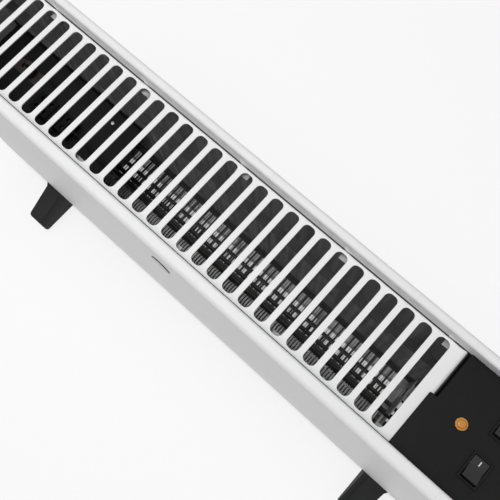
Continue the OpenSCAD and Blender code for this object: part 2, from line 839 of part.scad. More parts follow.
module element_bush() {
    difference() {
        union() {
            translate([0, 0, -bush_collar_t]) cylinder(r = bush_collar_r, h = bush_collar_t);
            cylinder(r = bush_r, h = bracket_t + bush_collar_t);
        }
        translate([0, 0, -bush_collar_t - over])
            cylinder(r = tube_r + run_gap, h = bracket_t + 2 * bush_collar_t + 2 * over);
    }
}

module element_bushes() {
    color("ivory") {
        translate([bracket_left, fin_axis_y, fin_axis_z]) rotate([0, 90, 0]) element_bush();
        translate([bracket_right, fin_axis_y, fin_axis_z]) rotate([0, -90, 0]) element_bush();
    }
}

module control_partition() {
    half = case_depth / 2 - sheet;
    base = floor_gap + bottom_bend_r + seam;
    color("gray") difference() {
        union() {
            block([partition_x, -half, base], [partition_x + sheet, half, partition_top]);
            for (sy = [0, 1]) mirror([0, sy, 0])
                block([partition_x, half - sheet, base + bottom_flange],
                    [partition_x + bottom_flange, half, partition_top]);
        }
        translate([partition_x - over, loom_pass[1], loom_pass[2]]) rotate([0, 90, 0])
            cylinder(r = partition_hole_r, h = sheet + 2 * over);
    }
}

module wiring_tray() {
    color([0.25, 0.25, 0.25]) {
        block([tray_left, tray_front, tray_z], [tray_right, shield_face, tray_z + sheet]);
        block([tray_left, shield_face - sheet, tray_z], [tray_right, shield_face, tray_z + tray_side]);
        block([tray_left, tray_front, tray_z - tray_side], [tray_right, tray_front + sheet, tray_z + sheet]);
    }
}

module terminal_block() {
    base = tray_z + sheet;
    color([0.12, 0.12, 0.12]) difference() {
        block([block_x - block_len / 2, block_y - block_w / 2, base],
            [block_x + block_len / 2, block_y + block_w / 2, base + block_h]);
        for (k = [0:block_ways - 1]) {
            for (sy = [-1, 1])
                translate([block_way_xs[k], block_y + sy * block_w / 4, base + block_h - block_screw_deep])
                    cylinder(r = block_screw_r, h = block_screw_deep + over);
        }
        for (k = [1:block_ways - 1]) {
            x = block_x + (k - block_ways / 2) * block_len / block_ways;
            block([x - sheet / 2, block_y - block_w, base + block_h * block_groove_share],
                [x + sheet / 2, block_y + block_w, base + block_h + over]);
        }
    }
}

module thermal_cutout() {
    base = tray_z + sheet;
    color("tan") translate([cutout_x, cutout_y, base]) {
        linear_extrude(sheet) round_rect(cutout_plate_len, cutout_plate_w, cutout_plate_r);
        cylinder(r = cutout_r, h = cutout_h);
        for (sx = [-1, 1])
            block([sx * cutout_r / 2 - tab_t / 2, -tab_w / 2, cutout_h - over],
                [sx * cutout_r / 2 + tab_t / 2, tab_w / 2, cutout_h + tab_len / 2]);
    }
}

// Points of a wire's route between its two ends
function route(first, last, shares, offsets) =
    [for (i = [0:len(shares) - 1]) first + shares[i] * (last - first) + offsets[i]];

// Direction of a route at point i, from its neighbours
function route_dir(p, i) =
    let (a = p[max(i - 1, 0)], b = p[min(i + 1, len(p) - 1)], d = b - a) d / norm(d);

// Unit vector square to a route at point i, carried along it from its start without twist
function side_dir(p, i) =
    let (
        d = route_dir(p, i),
        from = i == 0 ? cross(d, abs(d[2]) > 0.7 ? [1, 0, 0] : [0, 0, 1]) : side_dir(p, i - 1),
        u = from - (from * d) * d
    ) u / norm(u);

// Ring of points about a route's point i
function ring(p, i, r, n) =
    let (d = route_dir(p, i), u = side_dir(p, i), v = cross(d, u))
        [for (k = [0:n - 1]) p[i] + r * (cos(360 * k / n) * u + sin(360 * k / n) * v)];

// A round wire along a route
module wire(route, r) {
    n = wire_sides;
    m = len(route);
    pts = [for (i = [0:m - 1]) each ring(route, i, r, n)];
    sides = [for (i = [0:m - 2], k = [0:n - 1]) each [
        [i * n + k, (i + 1) * n + k, (i + 1) * n + (k + 1) % n],
        [i * n + k, (i + 1) * n + (k + 1) % n, i * n + (k + 1) % n]
    ]];
    ends = concat([for (k = [1:n - 2]) [0, k, k + 1]],
        [for (k = [1:n - 2]) [(m - 1) * n, (m - 1) * n + k + 1, (m - 1) * n + k]]);
    polyhedron(pts, concat(sides, ends));
}

module wiring_harness() {
    color([0.15, 0.15, 0.15]) {
        wire(loom_route, loom_r);
        wire(route([block_way_xs[2], block_front, block_wire_z], fin_left_end,
            fin_wire_shares, fin_wire_offsets), wire_r);
        wire(route([block_way_xs[1], block_front, block_wire_z],
            [hairpin_end_x, hairpin_y - hairpin_w / 2, hairpin_z],
            near_hairpin_wire_shares, near_hairpin_wire_offsets), wire_r);
        wire(route([block_way_xs[0], block_front, block_wire_z],
            [hairpin_end_x, hairpin_y + hairpin_w / 2, hairpin_z],
            far_hairpin_wire_shares, far_hairpin_wire_offsets), wire_r);
        wire(route(fin_right_end, return_end, return_wire_shares, return_wire_offsets), wire_r);
        wire(route([block_way_xs[0], block_back, block_wire_z], cutout_end,
            cutout_wire_shares, cutout_wire_offsets), wire_r);
    }
}

module cable_gland() {
    color([0.1, 0.1, 0.1]) translate([gland_x, rear_y, gland_z]) rotate([90, 0, 0]) difference() {
        union() {
            translate([0, 0, -gland_flange_t]) cylinder(r = gland_flange_r, h = gland_flange_t);
            translate([0, 0, -over]) cylinder(r = gland_r, h = gland_in + over);
            translate([0, 0, sheet]) cylinder(r = gland_flange_r, h = gland_nut_t);
        }
        translate([0, 0, -gland_flange_t - over])
            cylinder(r = cable_r, h = gland_flange_t + gland_in + 2 * over);
    }
}

module switch_places() {
    for (sy = [-1, 1]) translate([switch_x, knob_y + sy * switch_offset, control_top]) children();
}

module control_housing() {
    cut_len = bezel_len - 2 * bezel_lip;
    cut_w = bezel_w - 2 * bezel_lip;
    color([0.08, 0.08, 0.08]) difference() {
        union() {
            block([control_left, control_front, control_low], [control_right, control_back, control_top]);
            block([control_left - control_lip, control_front, grille_z + seam],
                [control_left + over, control_lip_back, control_top]);
        }
        block([partition_x + control_wall, control_front + control_wall, control_low - over],
            [control_right - control_wall, control_back - control_wall, control_top - control_wall]);
        block([control_left + control_wall, control_front + control_wall, control_low + control_wall],
            [partition_x, control_back - control_wall, control_top - control_wall]);
        translate([knob_x, knob_y, control_top - control_wall - over])
            cylinder(r = neck_r + slip, h = control_wall + 2 * over);
        switch_places() block([-cut_w / 2 - slip, -cut_len / 2 - slip, -control_wall - over],
            [cut_w / 2 + slip, cut_len / 2 + slip, over]);
        translate([lens_x, knob_y, control_top - control_wall - over])
            cylinder(r = lens_r + slip, h = control_wall + 2 * over);
    }
}

// A rocker switch's fixed body, with its bezel on the panel's top face at zero
module switch_body() {
    cut_len = bezel_len - 2 * bezel_lip;
    cut_w = bezel_w - 2 * bezel_lip;
    well_w = cut_w - 2 * switch_wall;
    well_len = cut_len - 2 * switch_wall;
    difference() {
        union() {
            linear_extrude(bezel_t) round_rect(bezel_w, bezel_len, bezel_lip);
            block([-cut_w / 2, -cut_len / 2, -switch_h], [cut_w / 2, cut_len / 2, over]);
            for (sy = [-1, 1]) block([-tab_w / 2, sy * cut_len / 4 - tab_t / 2, -switch_h - tab_len],
                [tab_w / 2, sy * cut_len / 4 + tab_t / 2, -switch_h + over]);
        }
        block([-well_w / 2, -well_len / 2, -rocker_well], [well_w / 2, well_len / 2, bezel_t + over]);
        translate([-cut_w / 2 - over, 0, -rocker_pivot_drop]) rotate([0, 90, 0])
            cylinder(r = axle_r + run_gap, h = cut_w + 2 * over);
    }
}

// A rocker with its axle, tipped to its off position
module rocker() {
    well_w = bezel_w - 2 * bezel_lip - 2 * switch_wall;
    well_len = bezel_len - 2 * bezel_lip - 2 * switch_wall;
    half_w = well_w / 2 - rocker_gap;
    half_len = well_len / 2 - rocker_gap;
    translate([0, 0, -rocker_pivot_drop]) rotate([-rocker_throw / 2, 0, 0]) {
        along_x(-half_w, half_w) intersection() {
            circle(half_len);
            polygon([
                [-half_len, -rocker_base], [half_len, -rocker_base], [half_len, rocker_top],
                [0, rocker_dip], [-half_len, rocker_top]
            ]);
        }
        translate([-well_w / 2 - axle_in, 0, 0]) rotate([0, 90, 0])
            cylinder(r = axle_r, h = well_w + 2 * axle_in);
    }
}

module low_power_switch() {
    color([0.1, 0.1, 0.1]) translate([switch_x, knob_y - switch_offset, control_top]) switch_body();
}

module high_power_switch() {
    color([0.1, 0.1, 0.1]) translate([switch_x, knob_y + switch_offset, control_top]) switch_body();
}

module low_power_rocker() {
    color("dimgray") translate([switch_x, knob_y - switch_offset, control_top]) rocker();
}

module high_power_rocker() {
    color("dimgray") translate([switch_x, knob_y + switch_offset, control_top]) rocker();
}

module pilot_lens() {
    color("orange") translate([lens_x, knob_y, control_top]) {
        cylinder(r = lens_flange_r, h = lens_flange_t);
        translate([0, 0, -lens_len]) cylinder(r = lens_r, h = lens_len);
        intersection() {
            cylinder(r = lens_r, h = lens_flange_t + lens_r);
            translate([0, 0, lens_flange_t - lens_r / 2]) sphere(lens_r);
        }
    }
}

module thermostat_body() {
    top = control_top - control_wall;
    color("tan") difference() {
        union() {
            block([knob_x - stat_len / 2, knob_y - stat_w / 2, top - stat_h],
                [knob_x + stat_len / 2, knob_y + stat_w / 2, top]);
            translate([knob_x, knob_y, top - over]) cylinder(r = neck_r, h = neck_h + over);
            for (sx = [-1, 1])
                block([knob_x + sx * stat_len / 4 - tab_t / 2, knob_y - tab_w / 2, top - stat_h - tab_len],
                    [knob_x + sx * stat_len / 4 + tab_t / 2, knob_y + tab_w / 2, top - stat_h + over]);
        }
        translate([knob_x, knob_y, top - spindle_in])
            cylinder(r = spindle_r + run_gap, h = spindle_in + neck_h + over);
    }
}

module spindle_nut() {
    color("silver") translate([knob_x, knob_y, control_top]) difference() {
        cylinder(r = nut_r, h = nut_h, $fn = 6);
        translate([0, 0, -over]) cylinder(r = neck_r + run_gap, h = nut_h + 2 * over);
    }
}

module thermostat_spindle() {
    low = control_top - control_wall - spindle_in + seam;
    high = control_top + knob_gap + knob_h - knob_cap;
    color("silver") translate([knob_x, knob_y, low]) cylinder(r = spindle_r, h = high - low - seam);
}

module thermostat_knob() {
    r = knob_d / 2;
    color([0.08, 0.08, 0.08]) translate([knob_x, knob_y, control_top + knob_gap]) difference() {
        union() {
            cylinder(r = r, h = knob_skirt);
            cylinder(r1 = r - knob_skirt, r2 = r - 2 * knob_skirt, h = knob_h - knob_grip_h);
            intersection() {
                cylinder(r1 = r - 2 * knob_skirt, r2 = r - 3 * knob_skirt, h = knob_h);
                translate([0, 0, knob_h / 2]) cube([2 * r, knob_grip_w, knob_h], center = true);
            }
            block([r * pointer_start_share, -pointer_w / 2, knob_h - over],
                [r - 4 * knob_skirt, pointer_w / 2, knob_h + pointer_h]);
        }
        for (k = [0:knob_flutes - 1]) rotate(360 * k / knob_flutes)
            translate([r - knob_skirt, 0, knob_skirt]) cylinder(r = knob_flute_r / 2, h = knob_h);
        translate([0, 0, -over]) cylinder(r = knob_dish_r, h = knob_dish_h + over);
        cylinder(r = spindle_r + run_gap, h = knob_h - knob_cap);
    }
}

front_panel();
rear_panel();
left_end_cap();
right_end_cap();
outlet_grille();
base_grille();
control_housing();
thermostat_knob();
thermostat_spindle();
thermostat_body();
spindle_nut();
low_power_rocker();
high_power_rocker();
low_power_switch();
high_power_switch();
pilot_lens();
rear_heat_shield();
front_heat_shield();
element_frame();
finned_element();
hairpin_element();
left_element_bracket();
right_element_bracket();
element_bushes();
control_partition();
wiring_tray();
terminal_block();
thermal_cutout();
wiring_harness();
cable_gland();
left_foot();
right_foot();
foot_pads();
foot_screws();
case_screws();
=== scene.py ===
"""Looks of a free-standing electric convector heater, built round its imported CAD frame."""

import logging
import math
from collections.abc import Callable, Iterable, Iterator
from dataclasses import dataclass, field
from enum import Enum

import bmesh
import bpy
from mathutils import Matrix, Vector


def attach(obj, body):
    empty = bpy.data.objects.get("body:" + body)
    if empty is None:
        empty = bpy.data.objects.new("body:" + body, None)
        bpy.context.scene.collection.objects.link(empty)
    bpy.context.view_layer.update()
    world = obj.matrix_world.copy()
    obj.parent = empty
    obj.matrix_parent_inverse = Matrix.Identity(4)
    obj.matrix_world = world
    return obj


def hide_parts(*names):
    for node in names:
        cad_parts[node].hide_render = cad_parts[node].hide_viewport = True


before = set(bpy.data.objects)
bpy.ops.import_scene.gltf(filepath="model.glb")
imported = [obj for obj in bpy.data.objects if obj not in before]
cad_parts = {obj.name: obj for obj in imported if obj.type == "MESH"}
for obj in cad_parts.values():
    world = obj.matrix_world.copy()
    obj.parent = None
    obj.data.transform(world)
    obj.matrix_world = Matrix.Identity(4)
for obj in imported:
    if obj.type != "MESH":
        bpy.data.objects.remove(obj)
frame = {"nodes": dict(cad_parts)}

MM = 0.001
NEAR = 0.02
MERGE = 0.01
HALF_DEPTH = 50.25
CASE_LOW = 35.0
CASE_SCREWS = (335.0, 67.0, 360.7)
FOOT_SCREWS = (271.0, 43.05)
log = logging.getLogger("heater")

Span = float | tuple[float, float] | None
Colour = tuple[float, float, float]
Point = tuple[float, float, float]

WHITE = (1.0, 1.0, 1.0, 1.0)
MID_GREY = (0.5, 0.5, 0.5, 1.0)


class Body(str, Enum):
    """The CAD bodies that pieces ride on."""

    CASE = "case"
    KNOB = "knob"
    LOW_ROCKER = "low_rocker"
    HIGH_ROCKER = "high_rocker"


class Part(Enum):
    """Kinds of mesh element that can be picked in edit mode."""

    VERTEX = "VERT"
    EDGE = "EDGE"
    FACE = "FACE"


class Axis(Enum):
    """The frame's three directions."""

    X = (1.0, 0.0, 0.0)
    Y = (0.0, 1.0, 0.0)
    Z = (0.0, 0.0, 1.0)

    @property
    def vector(self) -> Vector:
        """The direction as a vector."""
        return Vector(self.value)


def lies(item: object, x: Span = None, y: Span = None, z: Span = None) -> bool:
    """Tells whether every vertex of an edit-mesh element lies at the given places.

    Args:
        item: a vertex, edge or face of an edit mesh.
        x: a place or a (low, high) span along X in millimetres, or None for anywhere.
        y: the same along Y.
        z: the same along Z.

    Returns:
        True if all vertices lie there.
    """
    points = [item.co] if isinstance(item, bmesh.types.BMVert) else [v.co for v in item.verts]
    for axis, span in enumerate((x, y, z)):
        if span is None:
            continue
        low, high = span if isinstance(span, tuple) else (span, span)
        if any(not low - NEAR <= p[axis] / MM <= high + NEAR for p in points):
            return False
    return True


def faces_towards(face: bmesh.types.BMFace, direction: Vector) -> bool:
    """True if the face looks along the direction."""
    return face.normal.dot(direction) > 0.99


def runs_along(edge: bmesh.types.BMEdge, axis: Axis) -> bool:
    """True if the edge lies along the axis, either way."""
    return abs((edge.verts[0].co - edge.verts[1].co).normalized().dot(axis.vector)) > 0.9


def opaque(colour: Colour) -> tuple[float, float, float, float]:
    """Gives a colour its full opacity, as colour sockets take it."""
    return (*colour, 1.0)


def clear_selection() -> None:
    """Deselects everything, so that an operator reaches only what is picked next."""
    if bpy.context.object and bpy.context.object.mode != "OBJECT":
        bpy.ops.object.mode_set(mode="OBJECT")
    bpy.ops.object.select_all(action="DESELECT")


class Workpiece:
    """A mesh on the bench, shaped in edit mode by operators. All its arguments are in millimetres."""

    def __init__(self, name: str, obj: bpy.types.Object) -> None:
        """Takes an object on the bench.

        Args:
            name: the name for the object and its mesh.
            obj: the object.
        """
        self.obj = obj
        obj.name = name
        obj.data.name = name

    @classmethod
    def block(cls, name: str, low: Iterable[float], high: Iterable[float]) -> "Workpiece":
        """Starts from a box.

        Args:
            name: the piece's name.
            low: its lowest corner.
            high: its highest corner.

        Returns:
            The box.
        """
        low, high = Vector(low) * MM, Vector(high) * MM
        clear_selection()
        bpy.ops.mesh.primitive_cube_add(size=1.0, location=(low + high) / 2)
        obj = bpy.context.object
        obj.scale = high - low
        bpy.ops.object.transform_apply(location=True, rotation=True, scale=True)
        return cls(name, obj)

    @classmethod
    def sheet(
        cls, name: str, low: Iterable[float], high: Iterable[float], normal: Axis, flip: bool = False
    ) -> "Workpiece":
        """Starts from a flat sheet.

        Args:
            name: the piece's name.
            low: its lowest corner.
            high: its highest corner, level with the lowest one along the normal.
            normal: the axis that the sheet is square to.
            flip: True to let its front look back along the axis.

        Returns:
            The sheet.
        """
        low, high = Vector(low) * MM, Vector(high) * MM
        turn = {Axis.X: (0.0, math.pi / 2, 0.0), Axis.Y: (-math.pi / 2, 0.0, 0.0), Axis.Z: (0.0, 0.0, 0.0)}[normal]
        clear_selection()
        bpy.ops.mesh.primitive_plane_add(size=1.0, location=(low + high) / 2, rotation=turn)
        obj = bpy.context.object
        bpy.ops.object.transform_apply(location=False, rotation=True, scale=False)
        obj.scale = [max(s, MM) for s in high - low]
        bpy.ops.object.transform_apply(location=True, rotation=True, scale=True)
        piece = cls(name, obj)
        if flip:
            piece.edit()
            bpy.ops.mesh.select_all(action="SELECT")
            bpy.ops.mesh.flip_normals()
            piece.leave()
        return piece

    @classmethod
    def round(
        cls, name: str, centre: Iterable[float], radius: float, height: float, axis: Axis, sides: int = 48
    ) -> "Workpiece":
        """Starts from a cylinder.

        Args:
            name: the piece's name.
            centre: its centre point.
            radius: its radius.
            height: its length along the axis.
            axis: the way that it points.
            sides: how many flat sides it has.

        Returns:
            The cylinder.
        """
        turn = {Axis.X: (0.0, math.pi / 2, 0.0), Axis.Y: (math.pi / 2, 0.0, 0.0), Axis.Z: (0.0, 0.0, 0.0)}[axis]
        clear_selection()
        bpy.ops.mesh.primitive_cylinder_add(
            vertices=sides, radius=radius * MM, depth=height * MM, location=Vector(centre) * MM, rotation=turn
        )
        bpy.ops.object.transform_apply(location=True, rotation=True, scale=True)
        return cls(name, bpy.context.object)

    @classmethod
    def drills(
        cls, name: str, places: Iterable[Point], radius: float, depth: float, axis: Axis, sides: int = 24
    ) -> "Workpiece":
        """Shapes the cutter of round holes.

        Args:
            name: the cutter's name.
            places: the centre of each hole.
            radius: the holes' radius.
            depth: the cutter's length along the axis.
            axis: the way that the holes go.
            sides: how many flat sides each hole has.

        Returns:
            One cutter for all holes.
        """
        first, *others = [cls.round(name, place, radius, depth, axis, sides) for place in places]
        if others:
            first.join(*others)
        return first

    @classmethod
    def from_node(cls, name: str, node: str) -> "Workpiece":
        """Starts from a merged copy of a CAD node, with its flat faces whole.

        Args:
            name: the piece's name.
            node: the CAD node's name.

        Returns:
            The copy.
        """
        obj = bpy.data.objects.new(name, frame["nodes"][node].data.copy())
        bpy.context.scene.collection.objects.link(obj)
        obj.data.materials.clear()
        piece = cls(name, obj)
        piece.edit()
        bpy.ops.mesh.select_all(action="SELECT")
        bpy.ops.mesh.customdata_custom_splitnormals_clear()
        bpy.ops.mesh.remove_doubles(threshold=0.004 * MM)
        bpy.ops.mesh.dissolve_limited(angle_limit=math.radians(0.3))
        piece.leave()
        return piece

    @classmethod
    def wire(cls, name: str, route: Iterable[Point], radius: float) -> "Workpiece":
        """Draws a smooth round wire.

        Args:
            name: the wire's name.
            route: the points that it goes through.
            radius: its radius.

        Returns:
            The wire, closed at both ends.
        """
        clear_selection()
        bpy.ops.curve.primitive_bezier_curve_add(location=(0.0, 0.0, 0.0))
        obj = bpy.context.object
        spline = obj.data.splines[0]
        spline.bezier_points.add(len(route) - len(spline.bezier_points))
        for point, place in zip(spline.bezier_points, route):
            point.co = Vector(place) * MM
            point.handle_left_type = point.handle_right_type = "AUTO"
        obj.data.bevel_depth = radius * MM
        obj.data.bevel_resolution = 3
        obj.data.resolution_u = 6
        obj.data.use_fill_caps = True
        bpy.ops.object.convert(target="MESH")
        return cls(name, bpy.context.object)

    @classmethod
    def figure(cls, name: str, text: str, size: float, film: float) -> "Workpiece":
        """Cuts a plain numeral from film, flat at the origin.

        Args:
            name: the piece's name.
            text: the numeral.
            size: its height.
            film: half the film's thickness.

        Returns:
            The numeral.
        """
        clear_selection()
        bpy.ops.object.text_add(location=(0.0, 0.0, 0.0))
        obj = bpy.context.object
        obj.data.body = text
        obj.data.size = size * MM
        obj.data.align_x, obj.data.align_y = "CENTER", "CENTER"
        obj.data.extrude = film * MM
        bpy.ops.object.convert(target="MESH")
        return cls(name, bpy.context.object)

    @staticmethod
    def gather(pieces: Iterable["Workpiece"]) -> "Workpiece":
        """Joins pieces into the first of them, one after the other as they are made.

        Args:
            pieces: the pieces.

        Returns:
            The first piece, with the others in it.
        """
        pieces = iter(pieces)
        first = next(pieces)
        for piece in pieces:
            first.join(piece)
        return first

    def copy(self, name: str) -> "Workpiece":
        """Copies the piece with a mesh of its own.

        Args:
            name: the copy's name.

        Returns:
            The copy.
        """
        obj = self.obj.copy()
        obj.data = self.obj.data.copy()
        bpy.context.scene.collection.objects.link(obj)
        return Workpiece(name, obj)

    def scatter(self, name: str, places: list[tuple[Point, Point]]) -> "Workpiece":
        """Copies the piece to each place, as one piece.

        Args:
            name: the new piece's name.
            places: a place and a turn in degrees for each copy.

        Returns:
            The copies, joined.
        """
        copies = [self.copy(name) for _ in places]
        for piece, (to, turn) in zip(copies, places):
            piece.place(to, turn)
        first, *others = copies
        if others:
            first.join(*others)
        first.obj.name = first.obj.data.name = name
        return first

    def place(self, to: Iterable[float], turn: Iterable[float] = (0.0, 0.0, 0.0)) -> None:
        """Turns the whole piece about the origin, moves it, and keeps that in its mesh.

        Args:
            to: where the origin goes.
            turn: the turn about X, Y and Z in degrees.
        """
        self.activate()
        self.obj.rotation_euler = [math.radians(angle) for angle in turn]
        self.obj.location = Vector(to) * MM
        bpy.ops.object.transform_apply(location=True, rotation=True, scale=True)

    def activate(self) -> None:
        """Selects this piece alone and makes it active."""
        clear_selection()
        self.obj.select_set(True)
        bpy.context.view_layer.objects.active = self.obj

    def edit(self) -> None:
        """Opens the piece in edit mode."""
        self.activate()
        bpy.ops.object.mode_set(mode="EDIT")

    def leave(self) -> None:
        """Goes back to object mode."""
        bpy.ops.object.mode_set(mode="OBJECT")

    def pick(self, part: Part, test: Callable[[object], bool] | None = None) -> None:
        """Selects the elements that pass a test, and nothing else.

        Args:
            part: the kind of element.
            test: is given each element, or None for all of them.
        """
        if self.obj.mode != "EDIT":
            self.edit()
        bpy.ops.mesh.select_mode(type=part.value)
        bpy.ops.mesh.select_all(action="DESELECT")
        shape = bmesh.from_edit_mesh(self.obj.data)
        items = {Part.VERTEX: shape.verts, Part.EDGE: shape.edges, Part.FACE: shape.faces}[part]
        for item in [item for item in items if test is None or test(item)]:
            item.select_set(True)
        bmesh.update_edit_mesh(self.obj.data)

    def pick_at(
        self, part: Part, x: Span = None, y: Span = None, z: Span = None, facing: Vector | None = None
    ) -> None:
        """Selects the elements that lie at the given places, and nothing else."""
        self.pick(part, lambda item: lies(item, x, y, z) and (facing is None or faces_towards(item, facing)))

    def extrude(self, move: Iterable[float]) -> None:
        """Extrudes what is picked and moves it."""
        bpy.ops.mesh.extrude_region_move(TRANSFORM_OT_translate={"value": tuple(Vector(move) * MM)})

    def move(self, move: Iterable[float]) -> None:
        """Moves what is picked."""
        bpy.ops.transform.translate(value=tuple(Vector(move) * MM))

    def scale(self, factors: Iterable[float], centre: Iterable[float]) -> None:
        """Scales what is picked about a point."""
        bpy.ops.transform.resize(value=tuple(factors), center_override=tuple(Vector(centre) * MM))

    def inset(self, width: float, depth: float = 0.0) -> None:
        """Insets the picked faces by a width and sinks or raises them."""
        bpy.ops.mesh.inset(thickness=width * MM, depth=depth * MM, use_even_offset=True)

    def bevel(self, width: float, segments: int, corners: bool = False) -> None:
        """Rounds what is picked.

        Args:
            width: the rounding's width.
            segments: its steps.
            corners: True for the corners of a flat outline, False for edges.
        """
        bpy.ops.mesh.bevel(
            offset_type="OFFSET",
            offset=width * MM,
            segments=segments,
            profile=0.5,
            affect="VERTICES" if corners else "EDGES",
            clamp_overlap=True,
        )

    def cut(self, place: float, axis: Axis) -> None:
        """Cuts what is picked with a plane square to an axis."""
        bpy.ops.mesh.bisect(plane_co=tuple(axis.vector * place * MM), plane_no=axis.value)

    def remove(self, part: Part) -> None:
        """Deletes what is picked."""
        bpy.ops.mesh.delete(type=part.value)

    def modify(self, kind: str, **settings: object) -> None:
        """Adds a modifier and applies it.

        Args:
            kind: the modifier's type.
            settings: its settings by name.
        """
        self.activate()
        bpy.ops.object.modifier_add(type=kind)
        modifier = self.obj.modifiers[-1]
        for name, value in settings.items():
            setattr(modifier, name, value)
        bpy.ops.object.modifier_apply(modifier=modifier.name)

    def thicken(self, wall: float) -> None:
        """Gives a sheet its thickness, away from its front."""
        self.modify("SOLIDIFY", thickness=wall * MM, offset=-1.0, use_even_offset=True)

    def soften(self, width: float, segments: int = 2, angle: float = 50.0) -> None:
        """Rounds every sharp edge a little.

        Args:
            width: the rounding's width.
            segments: its steps.
            angle: the angle in degrees from which an edge counts as sharp.
        """
        self.modify(
            "BEVEL",
            width=width * MM,
            segments=segments,
            limit_method="ANGLE",
            angle_limit=math.radians(angle),
            use_clamp_overlap=True,
        )

    def carve(self, *cutters: "Workpiece") -> None:
        """Cuts other pieces out of this one and uses them up."""
        for cutter in cutters:
            self.combine(cutter, "DIFFERENCE")

    def fuse(self, other: "Workpiece") -> None:
        """Makes another piece one solid with this one and uses it up."""
        self.combine(other, "UNION")

    def combine(self, other: "Workpiece", operation: str) -> None:
        """Applies another piece to this one and removes it."""
        self.modify("BOOLEAN", operation=operation, object=other.obj, solver="EXACT")
        other.discard()

    def discard(self) -> None:
        """Takes the piece off the bench."""
        bpy.data.objects.remove(self.obj)

    def join(self, *others: "Workpiece") -> None:
        """Takes other pieces into this one."""
        self.activate()
        for other in others:
            other.obj.select_set(True)
        bpy.ops.object.join()

    def repeat(self, count: int, step: Iterable[float]) -> None:
        """Copies the mesh along a step.

        Args:
            count: how many there are in all.
            step: the way from one to the next.
        """
        self.modify(
            "ARRAY",
            count=count,
            use_relative_offset=False,
            use_constant_offset=True,
            constant_offset_displace=Vector(step) * MM,
        )

    def mirror(self, axis: Axis) -> None:
        """Adds the mirror image across the plane through the origin."""
        self.modify("MIRROR", use_axis=[axis is a for a in Axis], use_mirror_merge=True, merge_threshold=MERGE * MM)
        self.turn_outwards()

    def turn_outwards(self) -> None:
        """Lets every face look outwards."""
        self.edit()
        bpy.ops.mesh.select_all(action="SELECT")
        bpy.ops.mesh.normals_make_consistent(inside=False)
        self.leave()

    def smooth(self, angle: float = 35.0, weighted: bool = True) -> None:
        """Shades the piece smooth.

        Args:
            angle: the angle in degrees from which an edge stays sharp.
            weighted: True to let the large faces look flat.
        """
        self.activate()
        bpy.ops.object.shade_smooth_by_angle(angle=math.radians(angle))
        if weighted:
            self.modify("WEIGHTED_NORMAL", keep_sharp=True, weight=60)

    def hand_over(self, finish: "Finish", body: Body, *replaced: str) -> None:
        """Dresses the piece and hangs it on its body.

        Args:
            finish: its finish.
            body: the CAD body that it rides on.
            replaced: the CAD nodes that it stands for.
        """
        clear_selection()
        self.obj.data.materials.clear()
        self.obj.data.materials.append(finish.material())
        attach(self.obj, body.value)
        if replaced:
            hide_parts(*replaced)
        log.info("%s: %d faces, on %s", self.obj.name, len(self.obj.data.polygons), body.value)


